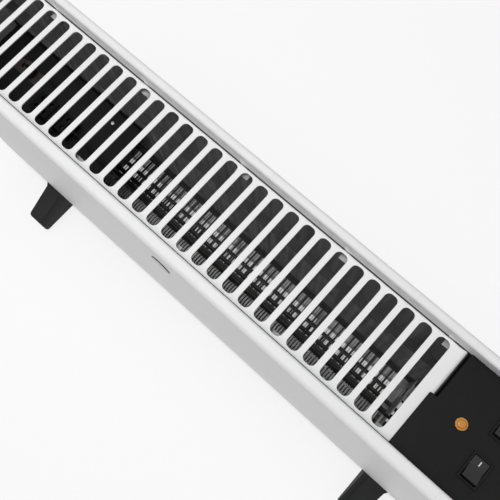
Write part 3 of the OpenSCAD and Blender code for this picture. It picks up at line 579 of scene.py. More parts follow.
class Tree:
    """Short hand for building one node tree."""

    def __init__(self, tree: bpy.types.NodeTree) -> None:
        """Takes a tree and empties it."""
        self.tree = tree
        self.tree.nodes.clear()

    def add(self, kind: str, settings: dict[str, object] | None = None, **sockets: object) -> bpy.types.Node:
        """Adds a node.

        Args:
            kind: the node's type, without the leading ShaderNode.
            settings: its own properties.
            sockets: its inputs by name, with underscores for spaces, as values or as output sockets.

        Returns:
            The node.
        """
        full = kind if kind.startswith("NodeGroup") else "ShaderNode" + kind
        node = self.tree.nodes.new(full)
        for name, value in (settings or {}).items():
            setattr(node, name, value)
        for name, value in sockets.items():
            self.feed(node, name.replace("_", " "), value)
        node.location = (220 * len(self.tree.nodes), 0)
        return node

    def feed(self, node: bpy.types.Node, socket: str | int, value: object) -> None:
        """Sets an input, or links an output socket into it.

        Args:
            node: the node.
            socket: the input's name or number.
            value: a value or an output socket.
        """
        if isinstance(value, bpy.types.NodeSocket):
            self.tree.links.new(value, node.inputs[socket])
        else:
            node.inputs[socket].default_value = value

    def give(self, result: bpy.types.Node, **values: object) -> bpy.types.NodeTree:
        """Ends a group.

        Args:
            result: the group's output node.
            values: what it puts out, by name.

        Returns:
            The group.
        """
        for name, value in values.items():
            self.feed(result, name, value)
        return self.tree

    def here(self) -> bpy.types.NodeSocket:
        """Gives the place on the piece, in the frame's metres."""
        return self.add("TexCoord").outputs["Object"]

    def facing(self) -> bpy.types.NodeSocket:
        """Gives the way that the surface looks."""
        return self.add("NewGeometry").outputs["Normal"]

    def along(self, axis: Axis, vector: bpy.types.NodeSocket) -> bpy.types.NodeSocket:
        """Gives a vector's part along an axis."""
        return self.add("SeparateXYZ", Vector=vector).outputs[axis.name]

    def maths(self, operation: str, first: object, second: object = 0.0, clamp: bool = False) -> bpy.types.NodeSocket:
        """Works one value out from two.

        Args:
            operation: the Math node's operation.
            first: a value or an output socket.
            second: the same.
            clamp: True to hold the result between 0 and 1.

        Returns:
            The result.
        """
        node = self.add("Math", {"operation": operation, "use_clamp": clamp})
        self.feed(node, 0, first)
        self.feed(node, 1, second)
        return node.outputs[0]

    def grow(self, base: object, mask: object, share: object) -> bpy.types.NodeSocket:
        """Adds a share of a mask to a value."""
        return self.maths("ADD", base, self.maths("MULTIPLY", mask, share))

    def blend(self, factor: object, first: object, second: object) -> bpy.types.NodeSocket:
        """Mixes two colours.

        Args:
            factor: how much of the second one shows.
            first: a colour or an output socket.
            second: the same.

        Returns:
            The mixed colour.
        """
        node = self.add("Mix", {"data_type": "RGBA"})
        for index, value in ((0, factor), (6, first), (7, second)):
            self.feed(node, index, value)
        return node.outputs[2]

    def shade(self, colour: object, gain: object) -> bpy.types.NodeSocket:
        """Makes a colour lighter or darker.

        Args:
            colour: a colour or an output socket.
            gain: the factor.

        Returns:
            The new colour.
        """
        node = self.add("VectorMath", {"operation": "SCALE"})
        self.feed(node, 0, colour)
        self.feed(node, "Scale", gain)
        return node.outputs[0]

    def noise(
        self, place: object, scale: object, detail: float, roughness: object = 0.5, **more: object
    ) -> bpy.types.NodeSocket:
        """Adds a cloudy noise."""
        node = self.add("TexNoise", Vector=place, Scale=scale, Detail=detail, Roughness=roughness, **more)
        return node.outputs["Fac"]

    def remap(
        self, value: object, low: float, high: float, to_low: float = 0.0, to_high: float = 1.0
    ) -> bpy.types.NodeSocket:
        """Maps a span of values onto another, held at its ends."""
        span = {"From_Min": low, "From_Max": high, "To_Min": to_low, "To_Max": to_high}
        return self.add("MapRange", {"clamp": True}, Value=value, **span).outputs[0]

    def mix(self, factor: object, first: bpy.types.Node, second: bpy.types.Node) -> bpy.types.Node:
        """Mixes two shaders.

        Args:
            factor: how much of the second one shows.
            first: a shader.
            second: another one.

        Returns:
            The node that mixes them.
        """
        node = self.add("MixShader", Fac=factor)
        self.feed(node, 1, first.outputs[0])
        self.feed(node, 2, second.outputs[0])
        return node

    def end(self, kind: str, shader: bpy.types.Node) -> None:
        """Sends a shader to the output node of a kind."""
        self.feed(self.add(kind), "Surface", shader.outputs[0])


class Effect(Enum):
    """Surface effects that several finishes share, each one node group."""

    RELIEF = "relief"
    MOTTLE = "mottle"
    DUST = "dust"
    SPANGLE = "spangle"
    DRAWN = "drawn"
    RUB = "rub"
    # painted light and shade in soft upright streaks
    STREAK = "streak"


class Effects:
    """The shared effects, each built once when a finish first asks for it."""

    made: dict[Effect, bpy.types.NodeTree] = {}

    @classmethod
    def group(cls, effect: Effect) -> bpy.types.NodeTree:
        """Gives the node group of an effect.

        Args:
            effect: the effect.

        Returns:
            Its group, built at its first use.
        """
        if effect not in cls.made:
            cls.made[effect] = getattr(cls, "build_" + effect.value)()
        return cls.made[effect]

    @staticmethod
    def begin(
        name: str, inputs: dict[str, object], outputs: dict[str, str]
    ) -> tuple[Tree, bpy.types.Node, bpy.types.Node]:
        """Starts a group.

        Args:
            name: the group's name.
            inputs: each input's name and first value, a number or a colour.
            outputs: each output's name and kind, Float, Color or Vector.

        Returns:
            Its tree, its input node and its output node.
        """
        group = bpy.data.node_groups.new(name, "ShaderNodeTree")
        for title, value in inputs.items():
            kind = "NodeSocketColor" if isinstance(value, tuple) else "NodeSocketFloat"
            socket = group.interface.new_socket(name=title, in_out="INPUT", socket_type=kind)
            socket.default_value = value
        for title, kind in outputs.items():
            group.interface.new_socket(name=title, in_out="OUTPUT", socket_type="NodeSocket" + kind)
        tree = Tree(group)
        return tree, tree.add("NodeGroupInput"), tree.add("NodeGroupOutput")

    @staticmethod
    def drift(tree: Tree, given: bpy.types.Node, mask: bpy.types.NodeSocket) -> bpy.types.NodeSocket:
        """Darkens a group's colour by its amount where a mask is low."""
        low = tree.maths("SUBTRACT", 1.0, given.outputs["Amount"])
        return tree.shade(given.outputs["Colour"], tree.grow(low, mask, given.outputs["Amount"]))

    @classmethod
    def build_relief(cls) -> bpy.types.NodeTree:
        """Builds the height of a fine pebbled skin, as on powder coat and moulded plastic.

        Returns:
            The group.
        """
        tree, given, result = cls.begin("Pebbled relief", {"Scale": 900.0, "Softness": 0.5}, {"Height": "Float"})
        place, scale = tree.here(), given.outputs["Scale"]
        fine = tree.noise(place, scale, 2.0, given.outputs["Softness"])
        wide = tree.add("TexVoronoi", {"feature": "SMOOTH_F1"}, Vector=place, Scale=scale, Smoothness=0.7)
        height = tree.grow(tree.maths("MULTIPLY", fine, 0.6), wide.outputs["Distance"], 0.4)
        return tree.give(result, Height=height)

    @classmethod
    def build_mottle(cls) -> bpy.types.NodeTree:
        """Builds a colour that drifts a little over the surface, and the drift as a mask.

        Returns:
            The group.
        """
        tree, given, result = cls.begin(
            "Slow mottle", {"Colour": MID_GREY, "Scale": 12.0, "Amount": 0.1}, {"Colour": "Color", "Mask": "Float"}
        )
        mask = tree.remap(tree.noise(tree.here(), given.outputs["Scale"], 5.0, 0.62), 0.32, 0.68)
        return tree.give(result, Colour=cls.drift(tree, given, mask), Mask=mask)

    @classmethod
    def build_dust(cls) -> bpy.types.NodeTree:
        """Builds the mask of the thin dust that settles on faces that look up.

        Returns:
            The group.
        """
        tree, given, result = cls.begin("Settled dust", {"Amount": 0.2, "Scale": 60.0}, {"Mask": "Float"})
        place = tree.here()
        up = tree.remap(tree.along(Axis.Z, tree.facing()), 0.55, 0.98)
        cloud = tree.remap(tree.noise(place, given.outputs["Scale"], 6.0, 0.7), 0.35, 0.75)
        grains = tree.remap(tree.noise(place, 2600.0, 1.0), 0.3, 0.62, 0.45, 1.0)
        lying = tree.maths("MULTIPLY", tree.maths("MULTIPLY", up, cloud), grains)
        return tree.give(result, Mask=tree.maths("MULTIPLY", lying, given.outputs["Amount"], clamp=True))

    @classmethod
    def build_spangle(cls) -> bpy.types.NodeTree:
        """Builds zinc crystals: a shade for each crystal, and a mask for their gloss.

        Returns:
            The group.
        """
        tree, given, result = cls.begin(
            "Zinc spangle", {"Colour": MID_GREY, "Scale": 110.0, "Amount": 0.25}, {"Colour": "Color", "Mask": "Float"}
        )
        place = tree.here()
        warp = tree.add("TexNoise", Vector=place, Scale=90.0, Detail=2.0)
        bent = tree.add("VectorMath", {"operation": "MULTIPLY_ADD"})
        for index, value in enumerate((warp.outputs["Color"], (0.006, 0.006, 0.006), place)):
            tree.feed(bent, index, value)
        crystal = tree.add("TexVoronoi", Vector=bent.outputs[0], Scale=given.outputs["Scale"], Randomness=1.0)
        mask = tree.along(Axis.X, crystal.outputs["Color"])
        return tree.give(result, Colour=cls.drift(tree, given, mask), Mask=mask)

    @classmethod
    def build_drawn(cls) -> bpy.types.NodeTree:
        """Builds height and mask of fine lines along X, as rolling and drawing leave them.

        Returns:
            The group.
        """
        tree, given, result = cls.begin("Drawn lines", {"Scale": 700.0}, {"Height": "Float", "Mask": "Float"})
        squeezed = tree.add("Mapping", Vector=tree.here(), Scale=(0.02, 1.0, 1.0))
        lines = tree.noise(squeezed.outputs[0], given.outputs["Scale"], 3.0, 0.6)
        return tree.give(result, Height=lines, Mask=tree.remap(lines, 0.35, 0.65))

    @classmethod
    def build_streak(cls) -> bpy.types.NodeTree:
        """Builds a colour with soft upright streaks of painted light and shade, as light falls through the outlet
        slots onto the walls below.

        Returns:
            The group.
        """
        tree, given, result = cls.begin(
            "Upright streaks", {"Colour": MID_GREY, "Scale": 170.0, "Amount": 0.4}, {"Colour": "Color"}
        )
        # Painted light and shade: the soft streaks stand for light falling through the outlet slots.
        drawn_out = tree.add("Mapping", Vector=tree.here(), Scale=(1.0, 1.0, 0.03))
        light_streaks = tree.noise(drawn_out.outputs[0], given.outputs["Scale"], 1.5, 0.45)
        swing = tree.maths("SUBTRACT", tree.remap(light_streaks, 0.3, 0.7), 0.5)
        gain = tree.grow(1.0, swing, given.outputs["Amount"])
        return tree.give(result, Colour=tree.shade(given.outputs["Colour"], gain))

    @classmethod
    def build_rub(cls) -> bpy.types.NodeTree:
        """Builds the mask of handling marks, broad dull patches crossed by hair lines.

        Returns:
            The group.
        """
        tree, given, result = cls.begin("Handling rub", {"Amount": 0.2, "Scale": 9.0}, {"Mask": "Float"})
        place = tree.here()
        patch = tree.remap(tree.noise(place, given.outputs["Scale"], 4.0, Distortion=0.6), 0.45, 0.8)
        turned = tree.add("Mapping", Vector=place, Rotation=(0.3, 0.5, 0.9), Scale=(1.0, 0.03, 0.4))
        hair = tree.remap(tree.noise(turned.outputs[0], 620.0, 1.0), 0.66, 0.74, 0.0, 0.5)
        worn = tree.maths("ADD", patch, hair)
        return tree.give(result, Mask=tree.maths("MULTIPLY", worn, given.outputs["Amount"], clamp=True))


@dataclass(frozen=True)
class Finish:
    """A finish as the record names it. Each kind adds its own nodes before the shader."""

    slot: str
    colour: Colour
    roughness: float
    metallic: float = 0.0
    specular: float = 0.5
    made: dict = field(default_factory=dict, compare=False, repr=False)

    def material(self) -> bpy.types.Material:
        """Gives the finish's material, built on first use.

        Returns:
            The material.
        """
        if "material" not in self.made:
            material = bpy.data.materials.new(self.slot)
            material.use_nodes = True
            material.diffuse_color = opaque(self.colour)
            tree = Tree(material.node_tree)
            shader = tree.add("BsdfPrincipled", Metallic=self.metallic, IOR=1.5, Specular_IOR_Level=self.specular)
            self.dress(tree, shader)
            tree.end("OutputMaterial", shader)
            self.made["material"] = material
        return self.made["material"]

    def dress(self, tree: Tree, shader: bpy.types.Node) -> None:
        """Feeds the shader. Each kind of finish has its own way."""
        raise NotImplementedError

    def effect(self, tree: Tree, effect: Effect, **inputs: object) -> bpy.types.Node:
        """Places a shared effect in this material.

        Args:
            tree: the material's tree.
            effect: the effect.
            inputs: its values here, by name.

        Returns:
            The group's node.
        """
        node = tree.add("Group", {"node_tree": Effects.group(effect)})
        for name, value in inputs.items():
            tree.feed(node, name, value)
        return node

    def tone(self, tree: Tree, scale: float, amount: float) -> bpy.types.Node:
        """Lets the finish's own colour drift by an amount."""
        return self.effect(tree, Effect.MOTTLE, Colour=opaque(self.colour), Scale=scale, Amount=amount)

    def relief(self, tree: Tree, shader: bpy.types.Node, height: object, depth: float, strength: float) -> None:
        """Feeds the shader's normal from a height."""
        bump = tree.add("Bump", Strength=strength, Distance=depth * MM, Height=height)
        tree.feed(shader, "Normal", bump.outputs["Normal"])


@dataclass(frozen=True)
class Coated(Finish):
    """Sheet metal under baked powder coat, with its orange peel, a trace of dust and painted shade in and around the
    case.

    Attributes:
        primer: grey of the primed faces inside the case, set dark as painted shade, and of the plate's turned-down
            and front edges, where it is painted shade; None where all faces are coated.
        gap: grey of the upright walls in the gaps beside the plate, a painted shade.
        skin: the grey faces lie nearer than this to the middle plane.
        sunk: the grey faces lie below this height.
        hem: the grey faces lie above this height.
        seam: faces in front of this place take the grey too, as a painted shadow line.
        trough: walls nearer than this to the middle plane take the painted shade of the gaps.
    """

    peel: float = 420.0
    peel_depth: float = 0.012
    dust: float = 0.08
    primer: Colour | None = None
    gap: Colour = (0.04, 0.04, 0.04)
    skin: float = 1000.0
    sunk: float = 384.3
    hem: float = 0.0
    seam: float = -1000.0
    trough: float = 0.0

    def dress(self, tree: Tree, shader: bpy.types.Node) -> None:
        """Feeds colour, gloss and peel.

        Args:
            tree: the material's tree.
            shader: its shader.
        """
        dust = self.effect(tree, Effect.DUST, Amount=self.dust, Scale=45.0).outputs["Mask"]
        rub = self.effect(tree, Effect.RUB, Amount=0.12, Scale=11.0).outputs["Mask"]
        pale = tuple(min(1.0, c * 0.92 + 0.05) for c in self.colour)
        coat = tree.blend(dust, self.tone(tree, 7.0, 0.025).outputs["Colour"], opaque(pale))
        # Painted shade: the grey darkens the case's primed inside faces and the plate's turned-down and front edges,
        # with upright streaks of painted light and shade, and the walls in the gaps beside the plate take a darker
        # painted shade.
        if self.primer:
            light_streaks = self.effect(tree, Effect.STREAK, Colour=opaque(self.primer), Scale=170.0, Amount=0.7)
            grey = tree.blend(self.narrow(tree), light_streaks.outputs["Colour"], opaque(self.gap))
            coat = tree.blend(self.hidden(tree), coat, grey)
        tree.feed(shader, "Base Color", coat)
        tree.feed(shader, "Roughness", tree.grow(tree.grow(self.roughness, rub, 0.35), dust, 0.5))
        peel = self.effect(tree, Effect.RELIEF, Scale=self.peel, Softness=0.35)
        self.relief(tree, shader, peel.outputs["Height"], self.peel_depth, 0.6)

    def narrow(self, tree: Tree) -> bpy.types.NodeSocket:
        """Masks the upright walls in the narrow gaps beside the plate, which take painted shade.

        Args:
            tree: the material's tree.

        Returns:
            The mask.
        """
        across = tree.maths("ABSOLUTE", tree.along(Axis.Y, tree.here()))
        gap = tree.remap(across, (self.trough + 0.2) * MM, self.trough * MM)
        return tree.maths("MULTIPLY", gap, tree.remap(tree.along(Axis.Z, tree.facing()), 0.8, 0.5))

    def hidden(self, tree: Tree) -> bpy.types.NodeSocket:
        """Masks the faces that take the grey: the case's primed inside faces, set dark as painted shade, and the
        plate's turned-down and front edges, painted as shade.

        Args:
            tree: the material's tree.

        Returns:
            The mask.
        """
        y, z = (tree.along(axis, tree.here()) for axis in (Axis.Y, Axis.Z))
        depth = tree.remap(tree.maths("ABSOLUTE", y), self.skin * MM, (self.skin - 0.3) * MM)
        low = tree.remap(z, self.sunk * MM, (self.sunk - 0.6) * MM)
        high = tree.remap(z, self.hem * MM, (self.hem + 0.4) * MM)
        seam = tree.remap(y, self.seam * MM, (self.seam - 0.2) * MM)
        return tree.maths("MAXIMUM", tree.maths("MULTIPLY", tree.maths("MULTIPLY", depth, low), high), seam)


@dataclass(frozen=True)
class Moulded(Finish):
    """Moulded plastic, rubber or ceramic with a fine spark-eroded grain."""

    grain: float = 1500.0
    grain_depth: float = 0.02
    dust: float = 0.1
    drift: float = 0.08

    def dress(self, tree: Tree, shader: bpy.types.Node) -> None:
        """Feeds colour, gloss and grain.

        Args:
            tree: the material's tree.
            shader: its shader.
        """
        tone = self.tone(tree, 22.0, self.drift).outputs["Colour"]
        dust = self.effect(tree, Effect.DUST, Amount=self.dust, Scale=70.0).outputs["Mask"]
        rub = self.effect(tree, Effect.RUB, Amount=0.25, Scale=16.0).outputs["Mask"]
        pale = opaque(tuple(c * 0.75 + 0.06 for c in self.colour))
        polished = opaque(tuple(c * 1.25 + 0.008 for c in self.colour))
        tree.feed(shader, "Base Color", tree.blend(dust, tree.blend(rub, tone, polished), pale))
        gloss = tree.maths("SUBTRACT", self.roughness, tree.maths("MULTIPLY", rub, 0.25))
        tree.feed(shader, "Roughness", tree.grow(gloss, dust, 0.4))
        grain = self.effect(tree, Effect.RELIEF, Scale=self.grain, Softness=0.6)
        self.relief(tree, shader, grain.outputs["Height"], self.grain_depth, 0.8)


@dataclass(frozen=True)
class Zinc(Finish):
    """Galvanised sheet with its crystals, rolled lines and dull oxide, upright streaks of painted light and shade,
    and painted shade over its top brim.
    """

    crystal: float = 110.0
    contrast: float = 0.3
    brim: float = 1000.0
    smoke: Colour = (0.065, 0.065, 0.065)
    dusty: Colour = (0.2, 0.195, 0.19)

    def dress(self, tree: Tree, shader: bpy.types.Node) -> None:
        """Feeds the crystals' colour and gloss, and the rolled lines.

        Args:
            tree: the material's tree.
            shader: its shader.
        """
        zinc = self.effect(tree, Effect.SPANGLE, Colour=opaque(self.colour), Scale=self.crystal, Amount=self.contrast)
        drawn = self.effect(tree, Effect.DRAWN, Scale=500.0)
        dust = self.effect(tree, Effect.DUST, Amount=0.3, Scale=55.0).outputs["Mask"]
        # Upright streaks of painted light and shade, standing for light through the outlet slots.
        light_streaks = self.effect(tree, Effect.STREAK, Colour=zinc.outputs["Colour"], Scale=170.0, Amount=0.6)
        # Above the brim height the sheet turns dark: painted shade over its lit top flange.
        brim_shaded = tree.remap(tree.along(Axis.Z, tree.here()), self.brim * MM, (self.brim + 0.3) * MM)
        sheet = tree.blend(brim_shaded, light_streaks.outputs["Colour"], opaque(self.smoke))
        tree.feed(shader, "Base Color", tree.blend(dust, sheet, opaque(self.dusty)))
        gloss = tree.grow(self.roughness, zinc.outputs["Mask"], 0.18)
        tree.feed(shader, "Roughness", tree.grow(gloss, dust, 0.4))
        self.relief(tree, shader, drawn.outputs["Height"], 0.008, 0.5)


@dataclass(frozen=True)
class BareMetal(Finish):
    """Bare drawn or plated metal, with lines from drawing and a light haze."""

    lines: float = 800.0
    haze: float = 0.2
    core: tuple[float, float, float, float] | None = None
    core_shade: Colour = (0.19, 0.185, 0.18)

    def dress(self, tree: Tree, shader: bpy.types.Node) -> None:
        """Feeds colour, gloss and lines.

        Args:
            tree: the material's tree.
            shader: its shader.
        """
        tone = self.tone(tree, 35.0, self.haze)
        drawn = self.effect(tree, Effect.DRAWN, Scale=self.lines)
        metal = tone.outputs["Colour"]
        if self.core:
            y, z, inner, outer = self.core
            across = tree.add("Mapping", Vector=tree.here(), Location=(0.0, -y * MM, -z * MM), Scale=(0.0, 1.0, 1.0))
            reach = tree.add("VectorMath", {"operation": "LENGTH"})
            tree.feed(reach, 0, across.outputs[0])
            clean = tree.remap(reach.outputs["Value"], inner * MM, outer * MM)
            metal = tree.blend(clean, opaque(self.core_shade), metal)
        tree.feed(shader, "Base Color", metal)
        rough = tree.grow(self.roughness, tone.outputs["Mask"], 0.12)
        tree.feed(shader, "Roughness", tree.grow(rough, drawn.outputs["Mask"], 0.08))
        self.relief(tree, shader, drawn.outputs["Height"], 0.006, 0.5)


@dataclass(frozen=True)
class Sleeved(Finish):
    """Braided glass sleeve over wire, its strands crossing along the run."""

    strand: float = 1300.0

    def dress(self, tree: Tree, shader: bpy.types.Node) -> None:
        """Feeds the braid's colour and height.

        Args:
            tree: the material's tree.
            shader: its shader.
        """
        place = tree.here()
        turned = tree.add("Mapping", Vector=place, Rotation=(0.0, math.pi / 2, math.pi / 2)).outputs[0]
        slanted = {"wave_type": "BANDS", "bands_direction": "DIAGONAL"}
        first, second = (
            tree.add("TexWave", slanted, Vector=way, Scale=self.strand, Distortion=0.4) for way in (place, turned)
        )
        braid = tree.maths("MAXIMUM", first.outputs["Fac"], second.outputs["Fac"])
        dark = tuple(c * 0.6 for c in self.colour)
        tree.feed(shader, "Base Color", tree.blend(braid, opaque(dark), opaque(self.colour)))
        tree.feed(shader, "Roughness", tree.remap(braid, 0.0, 1.0, self.roughness + 0.1, self.roughness))
        self.relief(tree, shader, braid, 0.08, 0.7)


@dataclass(frozen=True)
class Lens(Finish):
    """Clear tinted moulding of a pilot lamp, lightly frosted."""

    def dress(self, tree: Tree, shader: bpy.types.Node) -> None:
        """Feeds the tint and a fine frosting.

        Args:
            tree: the material's tree.
            shader: its shader.
        """
        tree.feed(shader, "Transmission Weight", 0.45)
        tree.feed(shader, "IOR", 1.49)
        tone = self.tone(tree, 220.0, 0.06)
        tree.feed(shader, "Base Color", tone.outputs["Colour"])
        rough = tree.remap(tone.outputs["Mask"], 0.0, 1.0, self.roughness, self.roughness + 0.08)
        tree.feed(shader, "Roughness", rough)
        frost = self.effect(tree, Effect.RELIEF, Scale=1800.0, Softness=0.5)
        self.relief(tree, shader, frost.outputs["Height"], 0.003, 0.3)


COAT_WHITE = (0.86, 0.86, 0.86)
# The case's inside faces from 104 mm up take a dark primed grey as painted shade, streaked with painted light and
# shade. The walls in the gaps beside the plate take a darker painted shade.
CASE_COAT = Coated(
    "white_coat",
    COAT_WHITE,
    0.42,
    specular=0.35,
    primer=(0.34, 0.34, 0.34),
    skin=49.8,
    sunk=384.9,
    hem=104.0,
    trough=43.2,
)
# The plate's turned-down edges below 384.3 mm and its front edge take a near-black grey: painted shade of its joints
# with the rims.
PLATE_COAT = Coated("white_coat", COAT_WHITE, 0.42, specular=0.35, primer=(0.09, 0.09, 0.09), seam=-37.95)
WHITE_PLASTIC = Moulded(
    "white_plastic", (0.83, 0.83, 0.83), 0.45, grain=900.0, grain_depth=0.015, dust=0.05, drift=0.02
)
BLACK_PLASTIC = Moulded("black_plastic", (0.007, 0.007, 0.007), 0.6, specular=0.12, dust=0.04)
KNOB_PLASTIC = Moulded("knob_plastic", (0.012, 0.012, 0.012), 0.42, specular=0.25, grain_depth=0.008, dust=0.04)
ROCKER_PLASTIC = Moulded("rocker_plastic", (0.015, 0.015, 0.015), 0.28, specular=0.3, grain_depth=0.003, dust=0.03)
FOOT_PLASTIC = Moulded("foot_plastic", (0.016, 0.016, 0.016), 0.66, specular=0.2, grain=1100.0, grain_depth=0.03)
PRINT_WHITE = Moulded("knob_plastic", (0.78, 0.78, 0.78), 0.6, grain_depth=0.004, dust=0.05, drift=0.03)
PAD_RUBBER = Moulded("pad_rubber", (0.014, 0.014, 0.014), 0.8, grain=700.0, grain_depth=0.05)
DARK_STEEL = Coated("dark_steel", (0.03, 0.03, 0.03), 0.6, specular=0.25, peel=700.0, dust=0.12)
FRAME_STEEL = Coated("dark_steel", (0.085, 0.085, 0.085), 0.6, specular=0.25, peel=700.0, dust=0.12)
TRAY_STEEL = Coated("dark_steel", (0.012, 0.012, 0.012), 0.6, specular=0.2, peel=700.0, dust=0.05)
GALVANISED = Zinc("galvanised_sheet", (0.45, 0.45, 0.45), 0.55, metallic=0.4)
# Its top flange above 274.9 mm is painted dark as shade.
SHIELD_SHEET = Zinc("galvanised_sheet", (0.52, 0.52, 0.52), 0.55, metallic=0.3, brim=274.9)
ELEMENT_STEEL = BareMetal("element_steel", (0.09, 0.085, 0.08), 0.45, metallic=0.5, specular=0.3, haze=0.35)
FIN_SHEET = BareMetal(
    "element_steel", (0.8, 0.8, 0.8), 0.5, metallic=0.2, lines=500.0, haze=0.3, core=(-9.5, 167.5, 6.4, 8.3)
)
WORN_SCREW = BareMetal("plated_steel", (0.16, 0.15, 0.14), 0.5, metallic=0.8, haze=0.3)
BADGE_PLATE = BareMetal("plated_steel", (0.66, 0.66, 0.66), 0.5, metallic=0.4, lines=900.0, haze=0.06)
PLATED_STEEL = BareMetal("plated_steel", (0.72, 0.72, 0.72), 0.24, metallic=1.0, haze=0.1)
GLASS_WEAVE = Sleeved("wire_sleeve", (0.16, 0.16, 0.16), 0.85, specular=0.2, strand=900.0)
WIRE_SLEEVE = Sleeved("wire_sleeve", (0.02, 0.02, 0.02), 0.7, specular=0.25)
CERAMIC = Moulded("ceramic", (0.72, 0.70, 0.66), 0.6, grain=1300.0, drift=0.1)
PHENOLIC = Moulded("phenolic", (0.05, 0.035, 0.028), 0.4, drift=0.3)
AMBER_LENS = Lens("amber_lens", (0.95, 0.42, 0.06), 0.16)

NODE_FINISHES: dict[str, Finish] = {
    "front_panel": CASE_COAT,
    "rear_panel": CASE_COAT,
    "left_end_cap": WHITE_PLASTIC,
    "right_end_cap": WHITE_PLASTIC,
    "outlet_grille": PLATE_COAT,
    "base_grille": DARK_STEEL,
    "control_housing": BLACK_PLASTIC,
    "thermostat_knob": KNOB_PLASTIC,
    "thermostat_spindle": PLATED_STEEL,
    "thermostat_body": PHENOLIC,
    "spindle_nut": PLATED_STEEL,
    "low_power_rocker": ROCKER_PLASTIC,
    "high_power_rocker": ROCKER_PLASTIC,
    "low_power_switch": BLACK_PLASTIC,
    "high_power_switch": BLACK_PLASTIC,
    "pilot_lens": AMBER_LENS,
    "rear_heat_shield": SHIELD_SHEET,
    "front_heat_shield": SHIELD_SHEET,
    "element_frame": FRAME_STEEL,
    "finned_element": ELEMENT_STEEL,
    "hairpin_element": ELEMENT_STEEL,
    "left_element_bracket": GALVANISED,
    "right_element_bracket": GALVANISED,
    "element_bushes": CERAMIC,
    "control_partition": GALVANISED,
    "wiring_tray": TRAY_STEEL,
    "terminal_block": BLACK_PLASTIC,
    "thermal_cutout": PHENOLIC,
    "wiring_harness": WIRE_SLEEVE,
    "cable_gland": BLACK_PLASTIC,
    "left_foot": FOOT_PLASTIC,
    "right_foot": FOOT_PLASTIC,
    "foot_pads": PAD_RUBBER,
    "foot_screws": PLATED_STEEL,
    "case_screws": PLATED_STEEL,
}


@dataclass(frozen=True)
class Lamp:
    """A square soft lamp that looks at a point, in metres and watts."""

    name: str
    place: Point
    target: Point
    size: float
    power: float

    def hang(self) -> None:
        """Hangs the lamp."""
        clear_selection()
        bpy.ops.object.light_add(type="AREA", location=self.place)
        lamp = bpy.context.object
        lamp.name = self.name
        lamp.data.size = self.size
        lamp.data.energy = self.power
        lamp.rotation_mode = "QUATERNION"
        lamp.rotation_quaternion = (Vector(self.target) - Vector(self.place)).to_track_quat("-Z", "Y")


